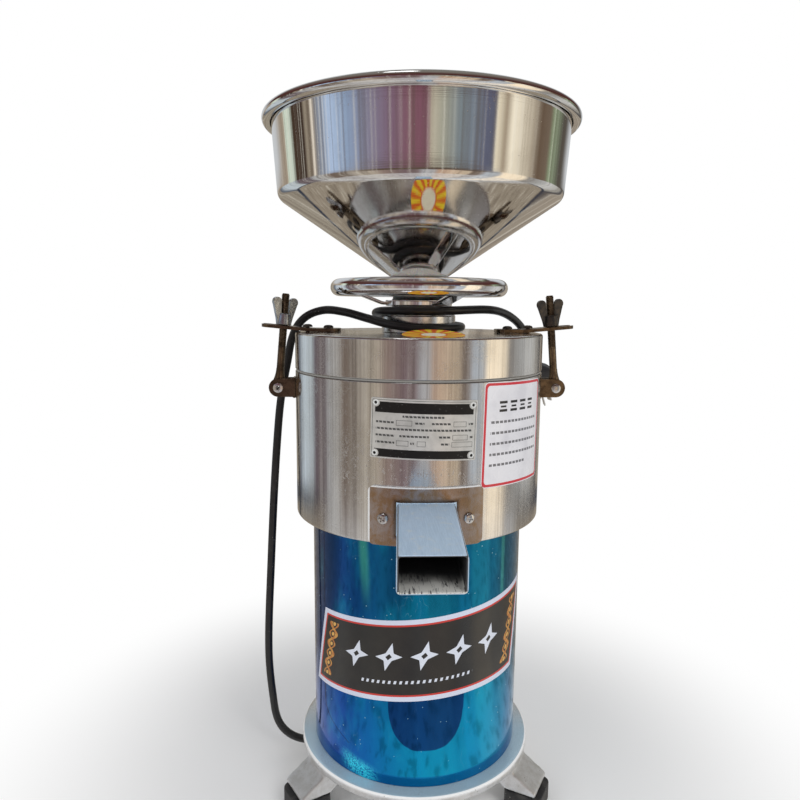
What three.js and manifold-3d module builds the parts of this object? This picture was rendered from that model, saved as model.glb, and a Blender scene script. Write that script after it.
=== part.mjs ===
// Soy milk grinder: an upright motor under a separating pot, with a screw-down
// upper millstone and a feed hopper. Millimetres, +Z up, the milk spout along -Y.
// The origin is on the floor, on the shaft's axis.

import * as THREE from 'three';
import { mergeVertices } from 'three/addons/utils/BufferGeometryUtils.js';
import Module from 'manifold-3d';

const wasm = await Module();
wasm.setup();

// Clearances and facets
const fitGap = 0.3;
const threadGap = 0.7;
const nutSeatGap = 0.5;
const runGap = 2;
const cutOverrun = 3;
const weldDistance = 0.001;
const wideSides = 32;
const midSides = 20;
const smallSides = 12;
const tinySides = 7;
const hexSides = 6;
const squareSides = 4;
const triangleCorners = 3;
const cornerSteps = 2;
const bendSteps = 8;
const halfTurn = 180;

// Base casting, legs and pads
const legCount = 3;
const rearLegAzimuth = 90;
const padHeight = 18;
const padWidth = 38;
const padLength = 37;
const padReach = 142;
const padCornerRadius = 8;
const legWidth = 37;
const legReach = 137;
const legFootLength = 29;
const legHeight = 20.7;
const legToeHeight = 5;
const legRootInner = 78;
const legRootOuter = 112;
const flangeRadius = 116;
const flangeThickness = 9.3;
const wellRadius = 56;
const wellWall = 6;
const wellDepth = 31;

// Motor casing
const casingRadius = 102.7;
const casingWall = 2;
const casingHeight = 238.1;

// Separating pot
const potRadius = 118.5;
const potWall = 5;
const potFloor = 5;
const potSkirt = 5;
const potHeight = 131.6;
const potHubRadius = 31;
const potHubHeight = 10;
const ledgeWidth = 3;
const ledgeDepth = 7;
const ledgeHeight = 66;
const separatorThickness = 3;
const separatorClearance = 3;

// Gasket, lid and threaded bush
const gasketThickness = 1.8;
const gasketInset = 0.4;
const lidHeight = 34;
const lidWall = 4;
const lidEdgeRadius = 2;
const bushRadius = 35.5;
const bushHeight = 16.7;
const bushSpigotRadius = 31;
const bushSpigotLength = 15;

// Motor
const shaftRadius = 10;
const statorRadius = 78;
const statorBore = 45.8;
const statorLength = 90;
const slotCount = 12;
const slotWidth = 8;
const slotDepth = 20;
const windingInner = 50;
const windingOuter = 65;
const windingOverhang = 19;
const rotorCoreRadius = 45;
const shieldRimWall = 6;
const upperShieldThickness = 14.7;
const upperRimDepth = 21.7;
const lowerRimDepth = 25.7;
const lowerShieldThickness = 6;
const lowerShieldRadius = 90;
const bearingRadius = 23.5;
const bearingWidth = 14;
const housingWall = 8;
const tieBoltCount = 3;
const tieBoltAzimuth = 30;
const tieBoltCircle = 84;
const tieBoltRadius = 2.5;
const tieBoltHeadRadius = 4.5;
const tieBoltHeadHeight = 4;
const tieBoltGrip = 8;
const fanRadius = 68;
const fanHubRadius = 17;
const fanHeight = 18;
const fanDisc = 2.5;
const fanBladeCount = 8;
const fanBladeThickness = 2;
const shaftTail = 6;
const sealRadius = 22;
const sealHeight = 13;
const capacitorRadius = 17;
const capacitorLength = 72;
const capacitorOffset = 72;
const cradleWidth = 26;
const cradleThickness = 5;
const cradleHeight = 9;
const cradleSpacing = 40;

// Grinding set
const seatRadius = 48;
const seatHeight = 18;
const seatFlangeRadius = 57;
const seatFlangeHeight = 4;
const seatSkirtWall = 4;
const seatSkirtDepth = 7;
const stoneRadius = 48;
const stoneBore = 20;
const lowerStoneThickness = 21;
const upperStoneThickness = 20.7;
const stoneNutRadius = 12;
const stoneNutHeight = 9;
const shaftThreadRadius = 7;
const shaftThreadProud = 4;
const basketFootRadius = 50;
const basketTopRadius = 90;
const basketHeight = 76;
const basketWall = 1.5;
const basketLip = 4;

// Feed sleeve, handwheel, collar and hopper
const sleeveRadius = 26;
const sleeveBore = 21.5;
const sleeveProud = 17;
const sleeveFlangeRadius = 46;
const sleeveFlangeThickness = 7.4;
const hubLift = 8;
const hubRadius = 32;
const hubHeight = 5.5;
const ringRadius = 84.7;
const ringTubeRadius = 8;
const ringRise = 17;
const ringTubeSides = 8;
const spokeCount = 3;
const spokeAzimuth = -55;
const spokeWidth = 19;
const spokeThickness = 3;
const collarRadius = 29.5;
const collarHeight = 17.7;
const knurlCount = 24;
const knurlDepth = 1;
const hopperHeight = 142.7;
const hopperSheet = 1.2;
const hopperNeckRadius = 20;
const hopperNeckDepth = 37;
const hopperShoulderRadius = 27;
const hopperKneeRadius = 132.5;
const hopperKneeRise = 70.5;
const hopperKneeRound = 7;
const hopperKneeOutShare = 0.8;
const hopperKneeUpShare = 0.6;
const hopperTopRadius = 137.5;
const hopperBeadRadius = 3.8;
const hopperBeadTurns = [-90, -45, 0, 45, 90, 150];
const hopperReach = 145.6;

// Milk spout and its flange
const spoutReach = 227.5;
const spoutWidth = 49;
const spoutTall = 28;
const spoutSheet = 1.5;
const spoutCornerRadius = 3.5;
const spoutTopRoot = 319.4;
const spoutSlope = 1.6;
const spoutYaw = 2.4;
const spoutFlangeWidth = 98;
const spoutFlangeTall = 50;
const spoutFlangeDrop = 38.4;
const spoutFlangeBottom = spoutTopRoot - spoutFlangeDrop;
const outletFlangeThickness = 2;
const outletFlangeCorner = 5;
const outletTuck = 7;
const spoutScrewSpacing = 72;

// Residue chute and its flange
const chuteReach = 227.5;
const chuteWidth = 84;
const chuteTall = 38;
const chuteSheet = 1.5;
const chuteCornerRadius = 4;
const chuteTopRoot = 411;
const chuteSlope = 12;
const chuteYaw = 0;
const chuteFlangeWidth = 112;
const chuteFlangeTall = 50;
const chuteFlangeDrop = 44.5;
const chuteFlangeBottom = chuteTopRoot - chuteFlangeDrop;
const chuteScrewSpacing = 99;

// Screws
const screwHeadRadius = 4.8;
const screwHeadHeight = 2.8;
const screwCrownShare = 0.6;
const screwShankRadius = 2;
const screwShankLength = 8;

// Data plate
const dataPlateWidth = 91;
const dataPlateTall = 52;
const dataPlateBottom = 354.6;
const dataPlateThickness = 0.8;
const dataPlateAzimuth = -91.3;
const rivetRadius = 2;
const rivetProud = 0.9;
const rivetInset = 4;

// Swing clamps
const pivotX = 135.5;
const pivotHeight = 401;
const boltLean = 5.2;
const boltRadius = 3.9;
const boltLength = 90.4;
const boltEyeRadius = 7.5;
const boltEyeThickness = 8;
const boltShoulderRadius = 6;
const boltShoulderLength = 14;
const pinRadius = 3;
const pinHeadRadius = 4.8;
const pinHeadThickness = 1.8;
const earRadius = 9;
const earThickness = 2.6;
const bracketBaseThickness = 2.5;
const bracketHeight = 20;
const lugGrip = 60;
const lugThickness = 3;
const lugWidth = 25;
const lugReach = 150;
const lugInner = 75;
const lugSlotWidth = 9;
const lugTipRadius = 7;
const lugScrewOuter = 107;
const lugScrewInner = 87;
const nutRadius = 7.5;
const nutTopRadius = 6;
const nutHeight = 11;
const wingSpan = 27;
const wingRise = 26;
const wingThickness = 3;
const wingTipRadius = 4.2;
const wingTipSweep = 150;
const leftWingTurn = 39;
const rightWingTurn = 12;

// Power switch
const switchAzimuth = 52;
const switchHeight = 98;
const bezelWidth = 21;
const bezelTall = 28;
const bezelThickness = 2.5;
const switchBodyInset = 2;
const switchBodyDepth = 17;
const rockerHalfTall = 9;
const rockerHalfWide = 6.5;
const rockerTilt = 10;
const rockerProud = 2.2;
const rockerSaddle = 1;
const rockerSkirt = 1.6;
const rockerKeel = 4;
const rockerPinRadius = 1.2;
const rockerPinProud = 1.4;
const rockerWellDepth = 6.5;
const rockerWellGap = 1.2;

// Power cord, gland and plug
const cordDiameter = 8;
const cordSides = 8;
const cordSteps = 84;
const glandAzimuth = 170;
const glandHeight = 17;
const glandNutRadius = 9;
const glandNutLength = 6;
const glandBodyRadius = 6.3;
const glandTipRadius = 4.9;
const glandTaper = 26;
const plugNeckLength = 16;
const plugNeckRadius = 6.5;
const plugWidth = 35;
const plugThickness = 21;
const plugBodyLength = 30;
const plugShoulder = 9;
const plugShoulderShare = 0.55;
const plugShoulderRootShare = 0.96;
const plugPinLength = 17;
const plugPinWidth = 6.3;
const plugPinThickness = 1.6;
const plugPinSpread = 7.9;
const plugPinLean = 30;
const plugEarthOffset = 6;

// The cord's route, from the gland's tip, up the left side, once round the bush
// under the handwheel and over the lid's rear edge to the plug.
const cordRoute = [
  [-87, 15.3, 17], [-98, 17.1, 16], [-109.3, 18.7, 13.9], [-120.3, 19.8, 14.3],
  [-130.4, 20.4, 18.1], [-138.7, 20.4, 25], [-144.5, 20.4, 34.2], [-147.8, 20.4, 44.8],
  [-150, 20.4, 61], [-153.8, 20.5, 112], [-149.2, 21, 222], [-142.4, 23.8, 332],
  [-137.4, 27.6, 386], [-130.4, 30.2, 424], [-125.6, 30.4, 447], [-119, 28.7, 460.6],
  [-108.6, 23.8, 470], [-91.5, 15, 475.4], [-72, 3.4, 473.8], [-50, -16.4, 468.4],
  [-31, -34.4, 463.8], [-7, -43, 460.6], [17, -38.2, 460.2], [35, -22.3, 460.3],
  [41.4, 2.4, 460.6], [33.6, 24.4, 461.6], [14.8, 38.8, 464], [-9.2, 40.5, 466.6],
  [-31, 27.6, 469.6], [-41.2, 4.6, 472.6], [-37.2, -18.4, 475], [-21, -35.8, 475.8],
  [3, -41.6, 475.8], [26.5, -36, 476.2], [66, -4.5, 477], [81.5, 12, 475],
  [96, 28.6, 469.6], [109, 43.4, 460.6], [119.6, 54.4, 447.2], [125.8, 61, 430.4],
];

// Heights that follow one another, from the floor up
const footBottom = padHeight + fitGap;
const flangeBottom = footBottom + legHeight;
const flangeTop = flangeBottom + flangeThickness;
const casingBottom = flangeTop + fitGap;
const casingTop = casingBottom + casingHeight;
const potFloorBottom = casingTop + fitGap;
const potFloorTop = potFloorBottom + potFloor;
const potHubTop = potFloorTop + potHubHeight;
const potBottom = potFloorBottom - potSkirt;
const potTop = potFloorBottom + potHeight;
const gasketBottom = potTop + fitGap;
const lidBottom = gasketBottom + gasketThickness + fitGap;
const lidTop = lidBottom + lidHeight;
const bushBottom = lidTop + fitGap;
const bushTop = bushBottom + bushHeight;
const hubBottom = bushTop + hubLift;
const ringHeight = hubBottom + ringRise;
const sleeveTop = bushTop + sleeveProud;
const collarBottom = sleeveTop + fitGap;
const collarTop = collarBottom + collarHeight;
const hopperBottom = collarTop + fitGap;
const hopperTop = hopperBottom + hopperHeight;
const seatBottom = potHubTop + runGap;
const seatTop = seatBottom + seatHeight;
const lowerStoneBottom = seatTop + fitGap;
const lowerStoneTop = lowerStoneBottom + lowerStoneThickness;
const upperStoneBottom = lowerStoneTop + fitGap;
const upperStoneTop = upperStoneBottom + upperStoneThickness;
const sleeveBottom = upperStoneTop + fitGap;
const basketBottom = seatBottom + seatFlangeHeight + fitGap;
const basketTop = basketBottom + basketHeight;
const upperShieldBottom = casingTop - upperShieldThickness;
const statorTop = upperShieldBottom - upperRimDepth - fitGap;
const statorBottom = statorTop - statorLength;
const lowerShieldTop = statorBottom - fitGap - lowerRimDepth;
const lowerShieldBottom = lowerShieldTop - lowerShieldThickness;
const upperBearingTop = upperShieldBottom + bearingWidth - potFloor;
const upperBearingBottom = upperBearingTop - bearingWidth;
const lowerBearingBottom = lowerShieldBottom - bearingWidth / 2;
const lowerBearingTop = lowerBearingBottom + bearingWidth;
const lowerHousingBottom = lowerBearingBottom - housingWall / 2;
const fanTop = lowerHousingBottom - runGap;
const fanBottom = fanTop - fanHeight;
const shaftBottom = fanBottom - shaftTail;
const ledgeTop = potFloorTop + ledgeHeight + ledgeDepth;
const separatorBottom = ledgeTop + fitGap;
const separatorTop = separatorBottom + separatorThickness;

// Radii that follow from the walls
const potInner = potRadius - potWall;
const lidInner = potRadius - lidWall;
const casingInner = casingRadius - casingWall;
const outletInner = potRadius + fitGap;
const outletOuter = outletInner + outletFlangeThickness;
const ringCentre = ringRadius - ringTubeRadius;

const radians = (degrees) => THREE.MathUtils.degToRad(degrees);

// Finishes
const finish = (color, roughness, metalness) =>
  new THREE.MeshStandardMaterial({ color, roughness, metalness });
const castAluminium = finish('#a9adb0', 0.62, 0.8);
const polishedAluminium = finish('#c9cccd', 0.3, 1);
const blueFilm = finish('#1273b8', 0.28, 0.7);
const mirrorSteel = finish('#d6d8da', 0.1, 1);
const brushedSteel = finish('#b4b6b8', 0.38, 1);
const chromePlate = finish('#dfe2e4', 0.08, 1);
const zincPlate = finish('#a7b0b6', 0.4, 1);
const brownedSteel = finish('#7d6a4f', 0.5, 0.9);
const darkSteel = finish('#3b3c3e', 0.45, 0.9);
const blackRubber = finish('#17171a', 0.7, 0);
const paleRubber = finish('#bcb8ae', 0.6, 0);
const blackPlastic = finish('#1d1e20', 0.5, 0);
const redPlastic = finish('#b3201c', 0.4, 0);
const whiteNylon = finish('#e9e8e2', 0.45, 0);
const greyStone = finish('#8f8c86', 0.95, 0);
const copperWire = finish('#a5592c', 0.4, 0.8);
const siliconSteel = finish('#6d7073', 0.5, 0.9);
const plateSilver = finish('#c4c6c8', 0.35, 0.9);

// Closed solids, joined and cut

function solidOf(geometry) {
  const bare = geometry.clone();
  bare.deleteAttribute('normal');
  bare.deleteAttribute('uv');
  const welded = mergeVertices(bare, weldDistance);
  const position = welded.attributes.position;
  const corners = [];
  let volume = 0;
  const [a, b, c] = [new THREE.Vector3(), new THREE.Vector3(), new THREE.Vector3()];
  for (let i = 0; i < welded.index.count; i += triangleCorners) {
    const triangle = [0, 1, 2].map((step) => welded.index.getX(i + step));
    if (new Set(triangle).size < triangleCorners) continue;
    corners.push(triangle);
    [a, b, c].forEach((corner, step) => corner.fromBufferAttribute(position, triangle[step]));
    volume += a.dot(b.cross(c));
  }
  const outward = corners.map(([p, q, r]) => (volume < 0 ? [p, r, q] : [p, q, r]));
  return new wasm.Manifold(new wasm.Mesh({
    numProp: 3,
    vertProperties: new Float32Array(position.array),
    triVerts: new Uint32Array(outward.flat()),
  }));
}

function geometryOf(solid) {
  const { vertProperties, triVerts } = solid.getMesh();
  const geometry = new THREE.BufferGeometry();
  geometry.setAttribute('position', new THREE.BufferAttribute(vertProperties, 3));
  geometry.setIndex(new THREE.BufferAttribute(triVerts, 1));
  geometry.computeVertexNormals();
  return geometry;
}

const join = (...parts) => geometryOf(parts.map(solidOf).reduce((whole, part) => whole.add(part)));
const cut = (whole, ...tools) =>
  geometryOf(tools.map(solidOf).reduce((rest, tool) => rest.subtract(tool), solidOf(whole)));
const common = (one, other) => geometryOf(solidOf(one).intersect(solidOf(other)));

// Basic forms

function block(width, depth, height, x = 0, y = 0, z = 0) {
  return new THREE.BoxGeometry(width, depth, height).translate(x, y, z);
}

// An upright rod from its foot at z = 0
function rod(radius, length, sides = smallSides, topRadius = radius) {
  return new THREE.CylinderGeometry(topRadius, radius, length, sides)
    .rotateX(radians(90)).translate(0, 0, length / 2);
}

const rodAcross = (radius, length, sides) =>
  rod(radius, length, sides).translate(0, 0, -length / 2).rotateX(radians(90));

// A body of revolution from a closed [radius, height] outline
function turned(outline, sides) {
  const points = [...outline, outline[0]].map(([r, z]) => new THREE.Vector2(r, z));
  return new THREE.LatheGeometry(points, sides).rotateX(radians(90));
}

const ringOf = (inner, outer, bottom, top, sides = midSides) =>
  turned([[inner, bottom], [outer, bottom], [outer, top], [inner, top]], sides);

const shapeOf = (points) => new THREE.Shape(points.map(([x, y]) => new THREE.Vector2(x, y)));

function extrude(shape, depth, steps = cornerSteps) {
  return new THREE.ExtrudeGeometry(shape, { depth, bevelEnabled: false, curveSegments: steps });
}

// An outline in the X-Z plane, given its width along Y about the middle
const acrossY = (shape, width, steps) =>
  extrude(shape, width, steps).rotateX(radians(90)).translate(0, width / 2, 0);

function roundedShape(width, height, radius, centreY = 0) {
  const [x, low, high] = [width / 2, centreY - height / 2, centreY + height / 2];
  const shape = new THREE.Shape();
  shape.moveTo(-x + radius, low);
  shape.lineTo(x - radius, low);
  shape.absarc(x - radius, low + radius, radius, radians(-90), 0);
  shape.lineTo(x, high - radius);
  shape.absarc(x - radius, high - radius, radius, 0, radians(90));
  shape.lineTo(-x + radius, high);
  shape.absarc(-x + radius, high - radius, radius, radians(90), radians(180));
  shape.lineTo(-x, low + radius);
  shape.absarc(-x + radius, low + radius, radius, radians(180), radians(270));
  return shape;
}

// A bent plate that lies round the axis, centred on an azimuth
function bentPlate(inner, thickness, width, bottom, tall, azimuth) {
  const half = width / 2 / inner;
  const middle = radians(azimuth);
  const shape = new THREE.Shape();
  shape.absarc(0, 0, inner, middle - half, middle + half, false);
  shape.absarc(0, 0, inner + thickness, middle + half, middle - half, true);
  return extrude(shape, tall, bendSteps).translate(0, 0, bottom);
}

const grinder = new THREE.Group();
grinder.name = 'soy_milk_grinder';

function addPiece(name, geometry, material, parent = grinder) {
  const piece = new THREE.Mesh(geometry, material);
  piece.name = name;
  parent.add(piece);
  return piece;
}

// Repeats a step at equal turns about the axis
function around(count, firstAzimuth, make) {
  for (let i = 0; i < count; i++) make(radians(firstAzimuth + (i * 2 * halfTurn) / count), i + 1);
}

// Base casting on three rubber pads

function legForm() {
  const toe = footBottom + legToeHeight;
  return acrossY(shapeOf([
    [legRootInner, flangeBottom + fitGap], [legReach - legFootLength, footBottom],
    [legReach, footBottom], [legReach, toe], [legRootOuter, flangeBottom],
    [legRootOuter, flangeBottom + fitGap],
  ]), legWidth);
}

function capacitorCradles() {
  const seat = capacitorSeat();
  const one = block(cradleThickness, cradleWidth, cradleHeight + flangeThickness / 2,
    cradleSpacing / 2, capacitorOffset, flangeTop + (cradleHeight - flangeThickness / 2) / 2);
  const two = one.clone().translate(-cradleSpacing, 0, 0);
  return cut(join(one, two), seat);
}

function capacitorSeat() {
  return rod(capacitorRadius + fitGap, capacitorLength, midSides).rotateY(radians(90))
    .translate(-capacitorLength / 2, capacitorOffset, capacitorHeight());
}

function capacitorHeight() {
  return flangeTop + fitGap + capacitorRadius;
}

function glandPlaced(geometry) {
  return geometry.rotateY(radians(90)).rotateZ(radians(glandAzimuth)).translate(
    wellRadius * Math.cos(radians(glandAzimuth)), wellRadius * Math.sin(radians(glandAzimuth)), glandHeight);
}

function makeBase() {
  let casting = join(
    ringOf(wellRadius - wellWall, flangeRadius, flangeBottom, flangeTop, wideSides),
    ringOf(wellRadius - wellWall, wellRadius, flangeBottom - wellDepth, flangeTop),
    capacitorCradles(),
  );
  around(legCount, rearLegAzimuth, (turn) => {
    casting = join(casting, legForm().rotateZ(turn));
  });
  const glandHole = glandPlaced(rod(glandBodyRadius + fitGap, 2 * (wellWall + cutOverrun))
    .translate(0, 0, -wellWall - cutOverrun));
  addPiece('base_casting', cut(casting, glandHole), castAluminium);
  around(legCount, rearLegAzimuth, (turn, number) => {
    const pad = extrude(roundedShape(padLength, padWidth, padCornerRadius), padHeight)
      .translate(padReach - padLength / 2, 0, 0).rotateZ(turn);
    addPiece(`foot_pad_${number}`, pad, blackRubber);
  });
}

// Motor casing with the motor hung under the pot

function switchPlaced(geometry) {
  return geometry.rotateY(radians(90)).rotateZ(radians(switchAzimuth)).translate(
    (casingRadius + fitGap) * Math.cos(radians(switchAzimuth)),
    (casingRadius + fitGap) * Math.sin(radians(switchAzimuth)), switchHeight);
}

function makeCasing() {
  const tube = ringOf(casingInner, casingRadius, casingBottom, casingTop, wideSides);
  const [tall, wide] = [bezelTall - 2 * switchBodyInset, bezelWidth - 2 * switchBodyInset];
  const hole = switchPlaced(block(tall + 2 * fitGap, wide + 2 * fitGap, switchBodyDepth,
    0, 0, -switchBodyDepth / 2 + cutOverrun));
  addPiece('motor_casing', cut(tube, hole), blueFilm);
}

function tieBoltHoles(bottom, length) {
  const holes = [];
  around(tieBoltCount, tieBoltAzimuth, (turn) => {
    holes.push(rod(tieBoltRadius + fitGap, length, tinySides).translate(tieBoltCircle, 0, bottom).rotateZ(turn));
  });
  return holes;
}

function makeShields() {
  const rimInner = statorRadius - shieldRimWall;
  const upper = join(
    ringOf(shaftRadius + runGap, casingInner - fitGap, upperShieldBottom, casingTop, wideSides),
    ringOf(rimInner, statorRadius, statorTop + fitGap, upperShieldBottom + fitGap),
    ringOf(shaftRadius + runGap, bearingRadius + housingWall, upperBearingBottom, upperShieldBottom + fitGap),
  );
  const upperSeat = rod(bearingRadius + fitGap, upperBearingTop + fitGap - upperBearingBottom + cutOverrun, midSides)
    .translate(0, 0, upperBearingBottom - cutOverrun);
  addPiece('upper_end_shield', cut(upper, upperSeat,
    ...tieBoltHoles(upperShieldBottom - cutOverrun, tieBoltGrip + cutOverrun)), castAluminium);
  const lower = join(
    ringOf(shaftRadius + runGap, lowerShieldRadius, lowerShieldBottom, lowerShieldTop, midSides),
    ringOf(rimInner, statorRadius, lowerShieldTop - fitGap, statorBottom - fitGap),
    ringOf(shaftRadius + runGap, bearingRadius + housingWall, lowerHousingBottom, lowerBearingTop),
  );
  const lowerSeat = rod(bearingRadius + fitGap, lowerBearingTop - lowerBearingBottom + fitGap + cutOverrun, midSides)
    .translate(0, 0, lowerBearingBottom - fitGap);
  addPiece('lower_end_shield', cut(lower, lowerSeat,
    ...tieBoltHoles(lowerShieldBottom - cutOverrun, lowerShieldThickness + 2 * cutOverrun)), castAluminium);
  const bearing = (bottom, top) => ringOf(shaftRadius + fitGap, bearingRadius, bottom, top);
  addPiece('upper_bearing', bearing(upperBearingBottom, upperBearingTop), brushedSteel);
  addPiece('lower_bearing', bearing(lowerBearingBottom, lowerBearingTop), brushedSteel);
  around(tieBoltCount, tieBoltAzimuth, (turn, number) => {
    const headBottom = lowerShieldBottom - fitGap - tieBoltHeadHeight;
    const shankTop = upperShieldBottom + tieBoltGrip - fitGap;
    const bolt = join(
      rod(tieBoltHeadRadius, tieBoltHeadHeight, hexSides),
      rod(tieBoltRadius, shankTop - headBottom, tinySides),
    ).translate(tieBoltCircle, 0, headBottom).rotateZ(turn);
    addPiece(`tie_bolt_${number}`, bolt, zincPlate);
  });
}

function makeStator() {
  let core = ringOf(statorBore, statorRadius, statorBottom, statorTop, wideSides);
  let winding = join(
    ringOf(windingInner, windingOuter, statorBottom - fitGap - windingOverhang, statorBottom - fitGap),
    ringOf(windingInner, windingOuter, statorTop + fitGap, statorTop + fitGap + windingOverhang),
  );
  const middle = (statorBottom + statorTop) / 2;
  const barDepth = windingOuter - windingInner;
  around(slotCount, 0, (turn) => {
    const slot = block(slotDepth + cutOverrun, slotWidth, statorLength + cutOverrun,
      statorBore + (slotDepth - cutOverrun) / 2, 0, middle);
    core = cut(core, slot.rotateZ(turn));
    const bar = block(barDepth - runGap, slotWidth - 2 * fitGap, statorLength + windingOverhang,
      windingInner + barDepth / 2 - fitGap, 0, middle);
    winding = join(winding, bar.rotateZ(turn));
  });
  addPiece('stator_core', core, siliconSteel);
  addPiece('stator_winding', winding, copperWire);
  addPiece('run_capacitor', rod(capacitorRadius, capacitorLength, midSides).rotateY(radians(90))
    .translate(-capacitorLength / 2, capacitorOffset, capacitorHeight()), blackPlastic);
}

// Rotating set on the motor's shaft

function fanForm() {
  let fan = join(
    ringOf(shaftRadius + fitGap, fanHubRadius, fanBottom, fanTop),
    ringOf(shaftRadius + fitGap, fanRadius, fanTop - fanDisc, fanTop),
  );
  const reach = fanRadius - fanHubRadius;
  around(fanBladeCount, 0, (turn) => {
    const blade = block(reach + runGap / 2, fanBladeThickness, fanHeight - fanDisc + fitGap,
      fanHubRadius + (reach - runGap / 2) / 2 - fitGap, 0, (fanBottom + fanTop - fanDisc + fitGap) / 2);
    fan = join(fan, blade.rotateZ(turn));
  });
  return fan;
}

function basketForm() {
  const slope = basketTopRadius - basketFootRadius;
  const foot = basketFootRadius + basketWall;
  return turned([
    [seatRadius + fitGap, basketBottom], [seatFlangeRadius, basketBottom],
    [seatFlangeRadius, basketBottom + basketWall], [foot + basketWall, basketBottom + basketWall],
    [foot + slope, basketTop - basketWall], [foot + slope + basketLip, basketTop - basketWall],
    [foot + slope + basketLip, basketTop], [foot + slope - basketWall, basketTop],
    [basketFootRadius, basketBottom + basketWall], [seatRadius + fitGap, basketBottom + basketWall],
  ], wideSides);
}

function makeRotor() {
  const rotor = new THREE.Group();
  grinder.add(rotor);
  const threadTop = lowerStoneBottom + stoneNutHeight + shaftThreadProud;
  addPiece('motor_shaft', join(
    rod(shaftRadius, seatTop - shaftBottom, midSides).translate(0, 0, shaftBottom),
    rod(shaftThreadRadius, threadTop - shaftBottom, smallSides).translate(0, 0, shaftBottom),
  ), brushedSteel, rotor);
  addPiece('rotor_core', ringOf(shaftRadius + fitGap, rotorCoreRadius, statorBottom, statorTop), siliconSteel, rotor);
  addPiece('cooling_fan', fanForm(), blackPlastic, rotor);
  addPiece('stone_seat', turned([
    [shaftRadius + fitGap, seatBottom], [potHubRadius + runGap, seatBottom],
    [potHubRadius + runGap, seatBottom - seatSkirtDepth],
    [potHubRadius + runGap + seatSkirtWall, seatBottom - seatSkirtDepth],
    [potHubRadius + runGap + seatSkirtWall, seatBottom], [seatFlangeRadius, seatBottom],
    [seatFlangeRadius, seatBottom + seatFlangeHeight], [seatRadius, seatBottom + seatFlangeHeight],
    [seatRadius, seatTop], [shaftRadius + fitGap, seatTop],
  ], midSides), castAluminium, rotor);
  addPiece('lower_stone', ringOf(stoneBore, stoneRadius, lowerStoneBottom, lowerStoneTop), greyStone, rotor);
  addPiece('filter_basket', basketForm(), brushedSteel, rotor);
  const nut = cut(rod(stoneNutRadius, stoneNutHeight, hexSides),
    rod(shaftThreadRadius + fitGap, stoneNutHeight + 2 * cutOverrun, smallSides).translate(0, 0, -cutOverrun));
  addPiece('stone_nut', nut.translate(0, 0, lowerStoneBottom), zincPlate, rotor);
}

// Separating pot with its two outlets

const spoutOutlet = {
  width: spoutWidth, tall: spoutTall, sheet: spoutSheet, corner: spoutCornerRadius,
  topRoot: spoutTopRoot, slope: spoutSlope, yaw: spoutYaw, reach: spoutReach, flangeWidth: spoutFlangeWidth,
  flangeTall: spoutFlangeTall, flangeBottom: spoutFlangeBottom, screwSpacing: spoutScrewSpacing,
};
const chuteOutlet = {
  width: chuteWidth, tall: chuteTall, sheet: chuteSheet, corner: chuteCornerRadius,
  topRoot: chuteTopRoot, slope: chuteSlope, yaw: chuteYaw, reach: chuteReach, flangeWidth: chuteFlangeWidth,
  flangeTall: chuteFlangeTall, flangeBottom: chuteFlangeBottom, screwSpacing: chuteScrewSpacing,
};

// A square-section bar along -Y that drops by the outlet's slope from the pot's wall and turns by its yaw
function outletBar(outlet, grow, before = 0, after = 0) {
  const run = outlet.reach - potRadius + outletTuck;
  const shape = roundedShape(outlet.width + 2 * grow, outlet.tall + 2 * grow, outlet.corner + grow);
  return extrude(shape, before + run + after).translate(0, 0, -before)
    .rotateX(radians(90)).translate(0, 0, -outlet.tall / 2)
    .rotateX(radians(outlet.slope)).rotateZ(radians(-outlet.yaw))
    .translate(0, -potRadius + outletTuck, outlet.topRoot + outletTuck * Math.tan(radians(outlet.slope)));
}

// The bar's far end is trimmed upright at the outlet's reach
function outletForm(outlet) {
  const { flangeWidth: width, flangeTall: tall, flangeBottom: bottom } = outlet;
  const bent = bentPlate(outletInner, outletFlangeThickness, width, bottom, tall, -90);
  const rounded = acrossY(roundedShape(width, tall, outletFlangeCorner, bottom + tall / 2), 4 * potRadius);
  const screwHoles = outletScrewPlaces(outlet).map((place) =>
    place(rod(screwShankRadius + fitGap, 2 * cutOverrun, tinySides).translate(0, 0, -cutOverrun)));
  const flange = cut(common(bent, rounded), outletBar(outlet, -fitGap), ...screwHoles);
  const tube = join(flange, cut(outletBar(outlet, 0, 0, outletTuck),
    outletBar(outlet, -outlet.sheet, outletTuck, 2 * outletTuck)));
  const beyond = block(2 * width, outlet.reach, 4 * tall, 0, -outlet.reach - outlet.reach / 2, outlet.topRoot);
  return cut(tube, beyond);
}

function outletScrewPlaces(outlet) {
  return [-1, 1].map((side) => (geometry) => {
    const azimuth = -halfTurn / 2 + side * THREE.MathUtils.radToDeg(Math.asin(outlet.screwSpacing / 2 / outletOuter));
    return geometry.rotateY(radians(90)).translate(outletOuter + fitGap, 0, 0).rotateZ(radians(azimuth))
      .translate(0, 0, outlet.flangeBottom + outlet.flangeTall / 2);
  });
}

function panScrew() {
  const [r, h] = [screwHeadRadius, screwHeadHeight];
  return turned([
    [0, -screwShankLength], [screwShankRadius, -screwShankLength], [screwShankRadius, 0],
    [r, 0], [r, h / 3], [r * screwCrownShare, h], [0, h],
  ], tinySides);
}

// Undercuts in the pot's wall for an outlet and its two screws
function outletHoles(outlet) {
  const screwHole = rod(screwShankRadius + fitGap, screwShankLength + cutOverrun + fitGap, tinySides)
    .translate(0, 0, -screwShankLength - fitGap);
  return [outletBar(outlet, fitGap, cutOverrun),
    ...outletScrewPlaces(outlet).map((place) => place(screwHole.clone()))];
}

const turnedBack = (geometry) => geometry.rotateZ(radians(halfTurn));

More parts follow.
